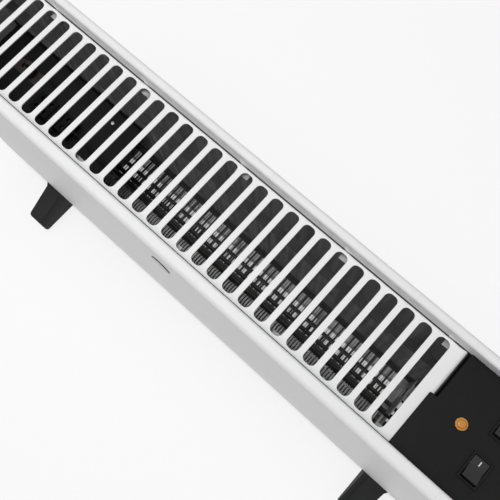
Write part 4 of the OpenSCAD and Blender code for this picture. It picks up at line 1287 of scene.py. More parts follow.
@dataclass
class Studio:
    """Camera at the photograph's place, soft lamps, a white surround and a pale floor."""

    eye: Point = (145.75, -80.17, 846.45)
    right: Point = (0.73989, 0.67125, -0.04455)
    up: Point = (-0.64114, 0.72366, 0.25544)
    back: Point = (0.2037, -0.16043, 0.9658)
    lens: float = 48.39
    sensor: float = 36.0
    shift: tuple[float, float] = (0.004, 0.001)
    nearest: float = 0.01
    world_light: float = 0.3
    floor_size: float = 9.0
    floor_shade: Colour = (0.86, 0.86, 0.86)
    floor_shadow: float = 0.2
    floor_depth: float = 0.62
    floor_front: tuple[float, float] = (-0.052, -0.044)
    floor_rear: tuple[float, float] = (0.13, 0.072)
    floor_ends: tuple[float, float] = (0.42, 0.35)
    lamps: tuple[Lamp, ...] = (
        Lamp("overhead", (-0.35, -0.18, 1.9), (0.0, 0.0, 0.3), 1.1, 17.8),
        Lamp("front left", (-1.6, -1.9, 1.5), (0.0, 0.0, 0.25), 1.2, 1.0),
    )

    def build(self) -> None:
        """Sets up camera, surround, floor and lamps."""
        bpy.context.scene.view_settings.view_transform = "Standard"
        self.place_camera()
        self.light_surround()
        self.lay_floor()
        for lamp in self.lamps:
            lamp.hang()
        log.info("studio is set")

    def place_camera(self) -> None:
        """Puts the camera where the photograph was taken."""
        clear_selection()
        bpy.ops.object.camera_add()
        camera = bpy.context.object
        camera.name = "camera"
        turn = Matrix((self.right, self.up, self.back)).transposed()
        camera.matrix_world = Matrix.Translation(Vector(self.eye) * MM) @ turn.to_4x4()
        camera.data.lens = self.lens
        camera.data.sensor_width = self.sensor
        camera.data.shift_x, camera.data.shift_y = self.shift
        camera.data.clip_start = self.nearest
        bpy.context.scene.camera = camera

    def seen(self, tree: Tree) -> bpy.types.NodeSocket:
        """Tells rays that come from the camera, off gloss or through glass.

        Args:
            tree: the tree of the material or world.

        Returns:
            A value that is one for such rays.
        """
        path = tree.add("LightPath").outputs
        glossy = tree.maths("MAXIMUM", path["Is Glossy Ray"], path["Is Transmission Ray"])
        return tree.maths("MAXIMUM", path["Is Camera Ray"], glossy)

    def light_surround(self) -> None:
        """Lights the object evenly from all round, and shows white behind it."""
        world = bpy.data.worlds.new("surround")
        bpy.context.scene.world = world
        world.use_nodes = True
        tree = Tree(world.node_tree)
        soft = tree.add("Background", Color=WHITE, Strength=self.world_light)
        plain = tree.add("Background", Color=WHITE, Strength=1.0)
        tree.end("OutputWorld", tree.mix(self.seen(tree), soft, plain))

    def lay_floor(self) -> None:
        """Lays a pale floor that keeps the heater's shadow."""
        clear_selection()
        bpy.ops.mesh.primitive_plane_add(size=self.floor_size, location=(0.0, 0.0, 0.0))
        floor = bpy.context.object
        floor.name = "floor"
        material = bpy.data.materials.new("pale floor")
        material.use_nodes = True
        tree = Tree(material.node_tree)
        matt = tree.add("BsdfDiffuse", Color=opaque(self.floor_shade))
        bright = tree.add("BsdfDiffuse", Color=WHITE)
        white = tree.add("Emission", Color=WHITE, Strength=1.0)
        far = tree.mix(self.floor_shadow, white, bright)
        # Below the heater the camera sees this share of the shaded floor and the rest as white glow: painted light in
        # the heater's shade.
        shown = tree.mix(tree.maths("MULTIPLY", self.beneath(tree), self.floor_depth), far, matt)
        tree.end("OutputMaterial", tree.mix(self.seen(tree), matt, shown))
        floor.data.materials.append(material)

    def beneath(self, tree: Tree) -> bpy.types.NodeSocket:
        """Masks the floor below the heater and close behind it, where its natural shade shows, mixed with part of the
        white glow.

        Args:
            tree: the floor's tree.

        Returns:
            The mask.
        """
        x, y = (tree.along(axis, tree.here()) for axis in (Axis.X, Axis.Y))
        front = tree.remap(y, *self.floor_front)
        rear = tree.remap(y, *self.floor_rear)
        ends = tree.remap(tree.maths("ABSOLUTE", x), *self.floor_ends)
        return tree.maths("MULTIPLY", tree.maths("MULTIPLY", front, rear), ends)


@dataclass
class Enclosure:
    """The two folded case panels with their rims and lugs.

    Attributes:
        slot: length and height of an inlet slot.
        flange_slot: where a flange's air slots start and end, from the middle plane.
        gland: place and radius of the cable gland's hole.
    """

    half: float = 340.0
    low: float = CASE_LOW
    top: float = 400.0
    wall: float = 1.0
    front_rim: float = 10.5
    rear_rim: float = 7.4
    front_bend: float = 4.5
    rear_bend: float = 3.0
    recess_bend: float = 2.5
    bottom_bend: float = 3.0
    flange: float = 12.0
    recess_low: float = 379.7
    lug_top: float = 380.7
    lug_width: float = 12.0
    lug_reach: float = 7.0
    lugs: tuple[float, ...] = (-296.0, -195.7, -95.4, 4.9, 105.2, 197.0)
    columns: int = 7
    column_pitch: float = 65.0
    rows: int = 8
    row_pitch: float = 8.0
    slot: tuple[float, float] = (60.0, 5.0)
    slot_low: float = 43.0
    slot_corner: float = 2.3
    flange_slot: tuple[float, float] = (40.75, 46.75)
    screw_hole: float = 2.1
    gland: tuple[float, float, float] = (290.0, 80.0, 7.1)
    through: float = 6.0
    edge: float = 0.25

    def build(self) -> None:
        """Builds both panels."""
        front = self.fold("front_case", 1.0, self.front_rim, self.front_bend)
        front.carve(self.flange_cutter(-1.0), self.foot_screw_cutter())
        self.finish(front, "front_panel")
        rear = self.fold("rear_case", -1.0, self.rear_rim, self.rear_bend)
        rear.carve(self.inlet_cutter(), self.flange_cutter(1.0), self.foot_screw_cutter())
        rear.carve(self.case_screw_cutter(), self.gland_cutter())
        self.finish(rear, "rear_panel")

    def finish(self, panel: Workpiece, node: str) -> None:
        """Rounds a panel's edges and hands it over.

        Args:
            panel: the panel.
            node: the CAD node that it stands for.
        """
        panel.soften(self.edge)
        panel.smooth()
        panel.hand_over(CASE_COAT, Body.CASE, node)

    def fold(self, name: str, inwards: float, rim: float, bend: float) -> Workpiece:
        """Folds one panel from a flat sheet: rim, recess wall, bottom flange and lugs.

        Args:
            name: the piece's name.
            inwards: 1 for the front panel and -1 for the rear one, the way to the inside along Y.
            rim: width of its rim.
            bend: outside radius of its top bend.

        Returns:
            The panel with its wall thickness.
        """
        face = -inwards * HALF_DEPTH
        recess = face + inwards * rim
        low, high = (-self.half, face, self.low), (self.half, face, self.top)
        panel = Workpiece.sheet(name, low, high, Axis.Y, flip=inwards > 0)
        panel.pick_at(Part.EDGE, z=self.top)
        panel.extrude((0.0, inwards * rim, 0.0))
        panel.extrude((0.0, 0.0, self.recess_low - self.top))
        panel.pick_at(Part.EDGE, y=face, z=self.low)
        panel.extrude((0.0, inwards * self.flange, 0.0))
        panel.pick_at(Part.FACE, y=recess)
        panel.cut(self.lug_top, Axis.Z)
        spans = [(lug - self.lug_width / 2, lug + self.lug_width / 2) for lug in self.lugs]
        for x in (x for span in spans for x in span):
            panel.pick_at(Part.FACE, y=recess)
            panel.cut(x, Axis.X)
        for span in spans:
            panel.pick_at(Part.EDGE, x=span, y=recess, z=self.lug_top)
            panel.extrude((0.0, inwards * self.lug_reach, 0.0))
        for y, z, radius, steps in (
            (face, self.top, bend, 8),
            (recess, self.top, self.recess_bend, 7),
            (face, self.low, self.bottom_bend, 5),
        ):
            panel.pick_at(Part.EDGE, y=y, z=z)
            panel.bevel(radius, steps)
        panel.leave()
        panel.thicken(self.wall)
        return panel

    def first_slot(self) -> tuple[float, float]:
        """Gives both ends of the first column of air slots along X."""
        middle = -(self.columns - 1) / 2 * self.column_pitch
        return middle - self.slot[0] / 2, middle + self.slot[0] / 2

    def inlet_cutter(self) -> Workpiece:
        """Shapes the rows of long inlet slots low in the rear panel.

        Returns:
            The cutter.
        """
        left, right = self.first_slot()
        low = (left, HALF_DEPTH - self.through / 2, self.slot_low)
        high = (right, HALF_DEPTH + self.through / 2, self.slot_low + self.slot[1])
        cutter = Workpiece.block("inlet_cutter", low, high)
        cutter.pick(Part.EDGE, lambda e: runs_along(e, Axis.Y))
        cutter.bevel(self.slot_corner, 5)
        cutter.leave()
        cutter.repeat(self.columns, (self.column_pitch, 0.0, 0.0))
        cutter.repeat(self.rows, (0.0, 0.0, self.row_pitch))
        return cutter

    def flange_cutter(self, side: float) -> Workpiece:
        """Shapes the air slots in one bottom flange.

        Args:
            side: -1 for the front flange and 1 for the rear one.

        Returns:
            The cutter.
        """
        left, right = self.first_slot()
        near, far = sorted(side * y for y in self.flange_slot)
        cutter = Workpiece.block("flange_cutter", (left, near, self.low - 2.0), (right, far, self.low + 3.0))
        cutter.repeat(self.columns, (self.column_pitch, 0.0, 0.0))
        return cutter

    def foot_screw_cutter(self) -> Workpiece:
        """Shapes the four foot screw holes in the bottom flanges.

        Returns:
            The cutter.
        """
        x, y = FOOT_SCREWS
        places = [(sx * x, sy * y, self.low) for sy in (1, -1) for sx in (1, -1)]
        return Workpiece.drills("foot_screw_cutter", places, self.screw_hole, self.through, Axis.Z)

    def case_screw_cutter(self) -> Workpiece:
        """Shapes the four case screw holes.

        Returns:
            The cutter.
        """
        x, *heights = CASE_SCREWS
        places = [(sx * x, HALF_DEPTH, z) for z in heights for sx in (1, -1)]
        return Workpiece.drills("case_screw_cutter", places, self.screw_hole, self.through, Axis.Y)

    def gland_cutter(self) -> Workpiece:
        """Shapes the hole for the cable gland."""
        x, z, radius = self.gland
        return Workpiece.drills("gland_cutter", [(x, HALF_DEPTH, z)], radius, self.through, Axis.Y, 32)


@dataclass
class Outlet:
    """The slotted outlet plate between the rims, with its turned-down edges and rolled ends.

    Attributes:
        margins: plain width in front of the slots and behind them.
    """

    left: float = -339.7
    right: float = 209.3
    front: float = -39.05
    back: float = 42.15
    top: float = 385.0
    wall: float = 1.0
    slots: int = 35
    pitch: float = 15.0
    slot_width: float = 10.3
    corner: float = 4.0
    margins: tuple[float, float] = (3.2, 2.5)
    last_slot: float = 191.0
    edge_drop: float = 4.3
    edge_bend: float = 1.5
    roll: float = 5.0
    end_drop: float = 9.0
    edge: float = 0.22

    def build(self) -> None:
        """Folds the plate, gives it its thickness and cuts the slots."""
        low, high = (self.left, self.front, self.top), (self.right, self.back, self.top)
        plate = Workpiece.sheet("outlet_plate", low, high, Axis.Z)
        for x in (self.left, self.right):
            plate.pick_at(Part.EDGE, x=x)
            plate.extrude((0.0, 0.0, -self.end_drop))
        for x in (self.left, self.right):
            plate.pick_at(Part.EDGE, x=x, z=self.top)
            plate.bevel(self.roll, 7)
        for y in (self.front, self.back):
            plate.pick_at(Part.EDGE, y=y, z=self.top)
            plate.extrude((0.0, 0.0, -self.edge_drop))
        for y in (self.front, self.back):
            plate.pick_at(Part.EDGE, y=y, z=self.top)
            plate.bevel(self.edge_bend, 4)
        plate.leave()
        plate.thicken(self.wall)
        plate.carve(self.slot_cutter())
        plate.soften(self.edge)
        plate.smooth()
        plate.hand_over(PLATE_COAT, Body.CASE, "outlet_grille")

    def slot_cutter(self) -> Workpiece:
        """Shapes one round-cornered slot and repeats it along the plate.

        Returns:
            The cutter of all slots.
        """
        first = self.last_slot - (self.slots - 1) * self.pitch
        half, z = self.slot_width / 2, self.top - 2 * self.wall
        low = (first - half, self.front + self.margins[0], z)
        high = (first + half, self.back - self.margins[1], z)
        cutter = Workpiece.sheet("slots", low, high, Axis.Z)
        cutter.pick(Part.VERTEX)
        cutter.bevel(self.corner, 7, corners=True)
        cutter.pick(Part.FACE)
        cutter.extrude((0.0, 0.0, 3 * self.wall))
        cutter.leave()
        cutter.turn_outwards()
        cutter.repeat(self.slots, (self.pitch, 0.0, 0.0))
        return cutter


@dataclass
class EndCaps:
    """Moulded ends of the case, each with a grip pocket.

    Attributes:
        grip: half the pocket's width and height.
    """

    outer: float = 360.0
    grip: tuple[float, float] = (32.0, 13.0)
    grip_height: float = 308.75
    lip: float = 0.9
    crease: float = 30.0

    def build(self) -> None:
        """Rounds the mouths of the pockets and dresses both caps."""
        half_y, half_z = self.grip
        z_span = (self.grip_height - half_z, self.grip_height + half_z)
        for side, node in ((-1.0, "left_end_cap"), (1.0, "right_end_cap")):
            cap = Workpiece.from_node(node.replace("end_cap", "cap"), node)
            cap.pick_at(Part.EDGE, x=side * self.outer, y=(-half_y, half_y), z=z_span)
            cap.bevel(self.lip, 3)
            cap.leave()
            cap.smooth(self.crease)
            cap.hand_over(WHITE_PLASTIC, Body.CASE, node)


@dataclass
class HeatBattery:
    """Elements on their frame: finned tube, insulating weave and the fin strip below the rear windows.

    Attributes:
        axis: the tube's place along Y and Z.
        blade: a blade's thickness, and its near and far end.
        rail: half the width and half the height of a rail.
        strand: a strand's width and height.
    """

    axis: tuple[float, float] = (-9.5, 167.5)
    fin_radius: float = 8.5
    fin_wall: float = 1.9
    fin_pitch: float = 3.2
    fin_first: float = -168.5
    fins: int = 118
    tube_radius: float = 4.0
    tube: tuple[float, float] = (-184.0, 222.0)
    stud_radius: float = 1.5
    stud: float = 6.0
    plate_low: float = 155.0
    plate_high: float = 156.0
    span: tuple[float, float] = (-175.0, 213.0)
    blade: tuple[float, float, float] = (0.45, 12.0, 40.0)
    blade_depth: float = 1.2
    blade_pitch: float = 2.9
    rail: tuple[float, float] = (0.6, 0.4)
    rail_ys: tuple[float, float] = (19.4, 40.0)
    weave: tuple[float, float] = (-0.4, 11.8)
    weave_pitch: float = 2.9
    weave_rows: int = 6
    strand: tuple[float, float] = (0.9, 0.7)
    row_lift: float = 0.3

    def build(self) -> None:
        """Builds the three pieces."""
        self.finned_tube()
        self.fin_strip()
        self.glass_weave()

    def finned_tube(self) -> None:
        """Builds the tube with its discs, modelled once and repeated."""
        y, z = self.axis
        fins = Workpiece.round("finned_tube", (self.fin_first, y, z), self.fin_radius, self.fin_wall, Axis.X, 32)
        fins.soften(0.18, 1)
        fins.repeat(self.fins, (self.fin_pitch, 0.0, 0.0))
        left, right = self.tube
        tube = Workpiece.round("tube", ((left + right) / 2, y, z), self.tube_radius, right - left, Axis.X, 32)
        for x, way in ((left, -1.0), (right, 1.0)):
            tube.pick_at(Part.FACE, x=x)
            tube.inset(self.tube_radius - self.stud_radius)
            tube.extrude((way * self.stud, 0.0, 0.0))
        tube.leave()
        fins.join(tube)
        fins.smooth(weighted=False)
        fins.hand_over(FIN_SHEET, Body.CASE, "finned_element")

    def fin_strip(self) -> None:
        """Builds the comb of thin blades under the rear windows, tied by two rails."""
        wall, near, far = self.blade
        first, last = self.span
        half_y, half_z = self.rail
        low = self.plate_low - self.blade_depth
        comb = Workpiece.block("fin_strip", (first, near, low), (first + wall, far, self.plate_low))
        comb.soften(0.08, 1)
        comb.repeat(int((last - first) / self.blade_pitch), (self.blade_pitch, 0.0, 0.0))
        for y in self.rail_ys:
            rail = Workpiece.block("rail", (first, y - half_y, low - half_z), (last, y + half_y, low + half_z))
            rail.soften(0.2)
            comb.join(rail)
        comb.hand_over(FRAME_STEEL, Body.CASE)

    def glass_weave(self) -> None:
        """Lays the open glass weave along the frame behind the finned tube."""
        near, far = self.weave
        first, last = self.span
        width, height = self.strand
        low = self.plate_high
        strands = Workpiece.block("glass_weave", (first, near, low), (first + width, far, low + height))
        strands.soften(0.3)
        strands.repeat(int((last - first) / self.weave_pitch), (self.weave_pitch, 0.0, 0.0))
        low += self.row_lift
        rows = Workpiece.block("rows", (first, near, low), (last, near + width, low + height))
        rows.soften(0.3)
        rows.repeat(self.weave_rows, (0.0, (far - near - width) / (self.weave_rows - 1), 0.0))
        strands.join(rows)
        strands.hand_over(GLASS_WEAVE, Body.CASE)


@dataclass
class Wiring:
    """Loom, short wires, cable ties and the terminal screws.

    Attributes:
        tie: a tie's thickness and width.
        tie_head: half the length and half the width of its head.
        tie_seat: lower and upper side of the head above the loom.
        groove: half the length, half the width and the low end of its slot.
    """

    loom_radius: float = 1.3
    wire_radius: float = 1.2
    loom: tuple[Point, ...] = (
        (292, -22, 338), (276, -21, 322), (256, -18, 308), (236, -16, 298), (200, -15, 287),
        (150, -14, 276), (90, -13, 268), (30, -13, 264), (-30, -13, 262), (-90, -12, 261),
        (-140, -10, 258), (-166, -7.5, 252.5), (-178, -6, 249.5), (-185, -6, 249), (-190.7, -6, 249),
    )
    short: tuple[tuple[Point, ...], ...] = (
        (
            (-209, -16.3, 246), (-209, -20, 246), (-209, -27, 247.5), (-208.5, -33, 244),
            (-207.5, -36.5, 234), (-206, -37, 218), (-204, -33, 200), (-201.5, -25, 184),
            (-199.5, -16, 173), (-198, -11, 168.3), (-194, -9.5, 167.5), (-190.3, -9.5, 167.5),
        ),
        (
            (-221, -16.3, 246), (-221, -20, 246), (-221, -27, 247.5), (-221, -33, 244),
            (-220.5, -36.5, 234), (-219, -37, 216), (-217, -32, 196), (-214.5, -22, 179),
            (-211, -10, 167), (-207, -1, 162), (-203, 1.75, 161), (-196.3, 1.75, 161),
        ),
        (
            (-233, -16.3, 246), (-233, -20, 246), (-233, -27, 247.5), (-233, -33, 244),
            (-232.5, -36.5, 234), (-231, -37, 215), (-228.5, -31, 194), (-225, -19, 177),
            (-220, -3, 165.5), (-213, 7, 161.5), (-206, 10.25, 161), (-196.3, 10.25, 161),
        ),
        (
            (228.3, -9.5, 167.5), (229.5, -9.5, 167.5), (231.3, -9.6, 169.8), (232.2, -10, 174),
            (232.5, -11, 190), (232.4, -12, 215), (232.2, -13, 240), (231.8, -14, 262),
            (231.3, -15, 278), (231.4, -16, 286), (232.6, -16.6, 291), (236, -16.9, 293.2),
            (242, -17, 294.5), (250, -17, 296),
        ),
        (
            (-233, 4.3, 246), (-233, 7, 246), (-236, 12, 248), (-242, 16, 253), (-250, 17, 259),
            (-259, 15, 263), (-266, 13, 263), (-270, 12, 260), (-271, 12, 257.3), (-271, 12, 254.3),
        ),
    )
    ties: tuple[float, ...] = (-90.0, 30.0, 150.0)
    tie: tuple[float, float] = (0.45, 2.4)
    tie_head: tuple[float, float] = (1.9, 1.6)
    tie_seat: tuple[float, float] = (-0.2, 2.0)
    ways: tuple[float, ...] = (-233.0, -221.0, -209.0, -197.0)
    way_rows: tuple[float, float] = (-11.0, -1.0)
    well: float = 251.0
    screw: tuple[float, float] = (2.0, 2.0)
    groove: tuple[float, float, float] = (2.5, 0.35, 1.2)
    screw_turn: float = 37.0

    def build(self) -> None:
        """Draws the wires, ties the loom and drives the terminal screws."""
        loom = Workpiece.wire("loom", self.loom, self.loom_radius)
        loom.join(*[Workpiece.wire("short_wire", route, self.wire_radius) for route in self.short])
        loom.smooth(60.0, weighted=False)
        loom.hand_over(WIRE_SLEEVE, Body.CASE, "wiring_harness")
        ties = Workpiece.gather(self.tied(place) for place in self.loom if place[0] in self.ties)
        ties.smooth(weighted=False)
        ties.hand_over(BLACK_PLASTIC, Body.CASE)
        self.drive_terminal_screws()

    def tied(self, place: Point) -> Workpiece:
        """Pulls a flat tie with its square head round the loom.

        Args:
            place: the point of the loom.

        Returns:
            The tie.
        """
        x, y, z = place
        thick, wide = self.tie
        half_x, half_y = self.tie_head
        low, high = (z + self.loom_radius + rise for rise in self.tie_seat)
        tie = Workpiece.round("loom_ties", place, self.loom_radius + thick, wide, Axis.X, 32)
        tie.soften(0.2, 1)
        head = Workpiece.block("tie_head", (x - half_x, y - half_y, low), (x + half_x, y + half_y, high))
        head.soften(0.35)
        tie.join(head)
        return tie

    def drive_terminal_screws(self) -> None:
        """Puts a slotted screw into each well of the terminal block."""
        radius, height = self.screw
        reach, half, low = self.groove
        model = Workpiece.round("terminal_screw", (0.0, 0.0, height / 2), radius, height, Axis.Z, 24)
        model.soften(0.3)
        model.carve(Workpiece.block("groove", (-reach, -half, low), (reach, half, height + 1.0)))
        wells = [(x, y, self.well) for x in self.ways for y in self.way_rows]
        places = [(well, (0.0, 0.0, self.screw_turn * number)) for number, well in enumerate(wells)]
        screws = model.scatter("terminal_screws", places)
        model.discard()
        screws.smooth(weighted=False)
        screws.hand_over(WORN_SCREW, Body.CASE)


@dataclass
class ControlPanel:
    """Black control housing with its knob, dial, two rockers and pilot lamp.

    Attributes:
        low: left and front side of the housing.
        high: its right and rear side.
        rib: both sides of the wall between its two hollows.
        lip: left end, rear side and underside of the lip over the plate's end.
        crown: width of the crown's border, and width and depth of its step.
        grip: half the grip bar's length and width.
        pointer: start, end and half the width of the white pointer.
        marks: start of the dial's marks, and the ends of the long and the short ones.
        mark: half a mark's width, and its film.
        numeral: distance from the knob's axis, height, lift, and half the film.
        bezel: half the size of a switch's bezel, and its height.
        frame: width of the bezel's border and depth of its well.
        stem: how much narrower a switch's body is, and its length.
        tab: half the width, place, half the thickness, low and high end of a contact tab below the top.
        cap: low and high corner of a rocker's cap about its axle.
        stroke: half the size of a rocker's mark, its film, place, pitch and slant.
        dome: how much narrower the dome is, its height and its rounding.
    """

    low: tuple[float, float] = (210.0, -39.45)
    high: tuple[float, float] = (339.7, 42.55)
    floor: float = 345.0
    top: float = 388.0
    wall: float = 2.5
    rib: tuple[float, float] = (236.0, 238.5)
    lip: tuple[float, float, float] = (204.3, 4.95, 385.3)
    neck_hole: float = 5.1
    switch_hole: tuple[float, float] = (6.6, 9.6)
    lens_hole: float = 3.1
    bore: float = 8.0
    knob: tuple[float, float] = (300.0, 1.55)
    knob_radius: float = 20.0
    knob_gap: float = 0.3
    skirt: float = 1.5
    taper: float = 0.93
    flutes: int = 30
    flute: float = 0.955
    crown: tuple[float, float, float] = (1.5, 0.8, -0.5)
    grip_low: float = 396.3
    knob_top: float = 401.3
    grip: tuple[float, float] = (16.6, 4.5)
    grip_taper: tuple[float, float] = (0.93, 0.8)
    pointer: tuple[float, float, float] = (8.0, 14.0, 0.8)
    dial_steps: int = 10
    dial_turn: float = 270.0
    marks: tuple[float, float, float] = (21.4, 25.0, 23.6)
    mark: tuple[float, float] = (0.3, 0.05)
    numeral: tuple[float, float, float, float] = (29.0, 5.0, 0.03, 0.03)
    every: int = 3
    switch_x: float = 256.0
    switch_ys: tuple[float, float] = (-15.45, 18.55)
    bezel: tuple[float, float, float] = (7.5, 10.5, 1.5)
    frame: tuple[float, float] = (1.7, 8.5)
    stem: tuple[float, float] = (1.0, 18.0)
    tab: tuple[float, float, float, float, float] = (2.4, 4.75, 0.4, 26.0, 17.8)
    cap: tuple[Point, Point] = ((-5.5, -8.5, -2.6), (5.5, 8.5, 4.6))
    dip: float = 2.2
    throw: float = 20.0
    pivot_drop: float = 2.0
    stroke: tuple[float, float, float, float, float, float] = (0.35, 1.6, 0.06, 4.5, 1.8, 14.5)
    lamp: tuple[float, float] = (232.0, 1.55)
    flange: tuple[float, float] = (4.2, 1.0)
    dome: tuple[float, float, float] = (1.2, 1.5, 1.3)
    shank: float = 9.0

    def build(self) -> None:
        """Builds housing, knob, dial, switches and lamp."""
        self.housing()
        self.thermostat_knob()
        self.knob_pointer()
        Workpiece.gather(self.dial_marks()).hand_over(PRINT_WHITE, Body.CASE)
        for number, (y, body) in enumerate(zip(self.switch_ys, (Body.LOW_ROCKER, Body.HIGH_ROCKER)), 1):
            title = ("low", "high")[number - 1]
            self.switch_case(title, y)
            pivot = (self.switch_x, y, self.top - self.pivot_drop)
            self.rocker(title, pivot, body)
            strokes = Workpiece.gather(self.strokes(title, pivot, number))
            strokes.hand_over(PRINT_WHITE, body)
        self.pilot_lamp()

    def housing(self) -> None:
        """Moulds the housing with the lip over the plate's end, two hollows and the holes in its top."""
        (left, front), (right, back) = self.low, self.high
        lip_end, lip_back, lip_low = self.lip
        shell = Workpiece.block("control_shell", (left, front, self.floor), (right, back, self.top))
        lip = Workpiece.block("lip", (lip_end, front, lip_low), (left + self.wall, lip_back, self.top))
        shell.fuse(lip)
        shell.soften(0.8, 3, 60.0)
        ceiling = self.top - self.wall
        cutters = [
            Workpiece.block("hollow", (x0, front + self.wall, z0), (x1, back - self.wall, ceiling))
            for x0, x1, z0 in (
                (left + self.wall, self.rib[0], self.floor + self.wall),
                (self.rib[1], right - self.wall, self.floor - 1.0),
            )
        ]
        for place, radius in ((self.knob, self.neck_hole), (self.lamp, self.lens_hole)):
            cutters.append(Workpiece.round("hole", (*place, self.top), radius, self.bore, Axis.Z, 32))
        x, (half_x, half_y), half_z = self.switch_x, self.switch_hole, self.bore / 2
        for y in self.switch_ys:
            low = (x - half_x, y - half_y, self.top - half_z)
            cutters.append(Workpiece.block("switch_hole", low, (x + half_x, y + half_y, self.top + half_z)))
        shell.carve(*cutters)
        shell.smooth()
        shell.hand_over(BLACK_PLASTIC, Body.CASE, "control_housing")

    def thermostat_knob(self) -> None:
        """Shapes the fluted knob with its grip bar."""
        x, y = self.knob
        low = self.top + self.knob_gap
        rim = low + self.skirt
        border, step, depth = self.crown
        knob = Workpiece.round("knob", (x, y, (low + rim) / 2), self.knob_radius, self.skirt, Axis.Z, 4 * self.flutes)
        knob.pick_at(Part.FACE, z=rim)
        knob.inset(self.skirt)
        knob.extrude((0.0, 0.0, self.grip_low - rim))
        knob.scale((self.taper, self.taper, 1.0), (x, y, self.grip_low))
        knob.pick(Part.VERTEX, self.in_flute)
        knob.scale((self.flute, self.flute, 1.0), (x, y, self.grip_low))
        knob.pick_at(Part.FACE, z=self.grip_low, facing=Axis.Z.vector)
        knob.inset(border)
        knob.inset(step, depth)
        knob.leave()
        knob.soften(0.3, 2, 35.0)
        length, half = self.grip
        low = (x - length, y - half, self.grip_low - 1.5)
        grip = Workpiece.block("grip", low, (x + length, y + half, self.knob_top))
        grip.pick_at(Part.FACE, z=self.knob_top)
        grip.scale((*self.grip_taper, 1.0), (x, y, self.knob_top))
        grip.leave()
        grip.soften(1.1, 4)
        knob.join(grip)
        knob.smooth()
        knob.hand_over(KNOB_PLASTIC, Body.KNOB, "thermostat_knob")

    def in_flute(self, vertex: bmesh.types.BMVert) -> bool:
        """Tells whether a vertex of the knob lies at the bottom of a flute.

        Args:
            vertex: the vertex.

        Returns:
            True if it does.
        """
        dx, dy = vertex.co.x / MM - self.knob[0], vertex.co.y / MM - self.knob[1]
        step = math.degrees(math.atan2(dy, dx)) / (360 / self.flutes)
        raised = vertex.co.z / MM > self.top + self.knob_gap + self.skirt - NEAR
        return raised and math.hypot(dx, dy) < self.knob_radius - 1 and abs(step - round(step)) < 0.05

    def knob_pointer(self) -> None:
        """Lays the white pointer into the knob's grip bar."""
        x, y = self.knob
        start, end, half = self.pointer
        low = (x + start, y - half, self.knob_top - 0.2)
        pointer = Workpiece.block("knob_pointer", low, (x + end, y + half, self.knob_top + 0.4))
        pointer.soften(0.2)
        pointer.hand_over(PRINT_WHITE, Body.KNOB)

    def dial_marks(self) -> Iterator[Workpiece]:
        """Prints the scale round the knob: short and long marks with plain numerals.

        Yields:
            Each mark, and each numeral after its mark.
        """
        x, y = self.knob
        start, long_end, short_end = self.marks
        half, film = self.mark
        radius, size, lift, numeral_film = self.numeral
        for step in range(self.dial_steps):
            angle = -step * self.dial_turn / (self.dial_steps - 1)
            number, rest = divmod(step, self.every)
            end = short_end if rest else long_end
            mark = Workpiece.block("dial_scale", (start, -half, 0.0), (end, half, film))
            mark.soften(0.015, 1)
            mark.place((x, y, self.top), (0.0, 0.0, angle))
            yield mark
            if not rest:
                numeral = Workpiece.figure("numeral", str(number), size, numeral_film)
                way = math.radians(angle)
                numeral.place((x + radius * math.cos(way), y + radius * math.sin(way), self.top + lift))
                yield numeral

    def switch_case(self, title: str, y: float) -> None:
        """Builds a switch's bezel with its body and contact tabs.

        Args:
            title: low or high, for its power.
            y: its place.
        """
        x, (half_x, half_y, rise) = self.switch_x, self.bezel
        low = (x - half_x, y - half_y, self.top)
        case = Workpiece.block(f"{title}_switch", low, (x + half_x, y + half_y, self.top + rise))
        for z, facing, (border, depth) in (
            (self.top + rise, None, self.frame),
            (self.top, -Axis.Z.vector, self.stem),
        ):
            case.pick_at(Part.FACE, z=z, facing=facing)
            case.inset(border)
            case.extrude((0.0, 0.0, -depth))
        case.leave()
        case.soften(0.45, 3)
        wide, place, thick, bottom, upper = self.tab
        for middle in (y - place, y + place):
            low = (x - wide, middle - thick, self.top - bottom)
            tab = Workpiece.block("tab", low, (x + wide, middle + thick, self.top - upper))
            tab.soften(0.2, 1)
            case.join(tab)
        case.smooth()
        case.hand_over(BLACK_PLASTIC, Body.CASE, f"{title}_power_switch")

    def rocker(self, title: str, pivot: Point, body: Body) -> None:
        """Builds a rocker, dipped at its middle.

        Args:
            title: low or high, for its power.
            pivot: the place of its axle.
            body: the body that it is.
        """
        low, high = self.cap
        rocker = Workpiece.block(f"{title}_rocker_cap", low, high)
        rocker.pick(Part.FACE)
        rocker.cut(0.0, Axis.Y)
        rocker.pick_at(Part.VERTEX, y=0.0, z=high[2])
        rocker.move((0.0, 0.0, -self.dip))
        rocker.pick(Part.EDGE, lambda e: lies(e, y=low[1], z=high[2]) or lies(e, y=high[1], z=high[2]))
        rocker.bevel(1.5, 4)
        rocker.pick_at(Part.EDGE, y=0.0, z=high[2] - self.dip)
        rocker.bevel(1.6, 4)
        rocker.leave()
        rocker.soften(0.3, 2, 40.0)
        rocker.smooth()
        rocker.place(pivot, (-self.throw / 2, 0.0, 0.0))
        rocker.hand_over(ROCKER_PLASTIC, body, f"{title}_power_rocker")

    def strokes(self, title: str, pivot: Point, number: int) -> Iterator[Workpiece]:
        """Prints a rocker's strokes.

        Args:
            title: low or high, for its power.
            pivot: the place of its axle.
            number: one for the low power and two for the high power.

        Yields:
            Each stroke.
        """
        half_x, half_y, film, place, pitch, slant = self.stroke
        _, half_cap, height = self.cap[1]
        rise = height - self.dip + place * self.dip / half_cap
        for index in range(number):
            mark = Workpiece.block(f"{title}_rocker_mark", (-half_x, -half_y, 0.0), (half_x, half_y, film))
            mark.soften(0.015, 1)
            mark.place(((index - (number - 1) / 2) * pitch, place, rise), (slant, 0.0, 0.0))
            mark.place(pivot, (-self.throw / 2, 0.0, 0.0))
            yield mark

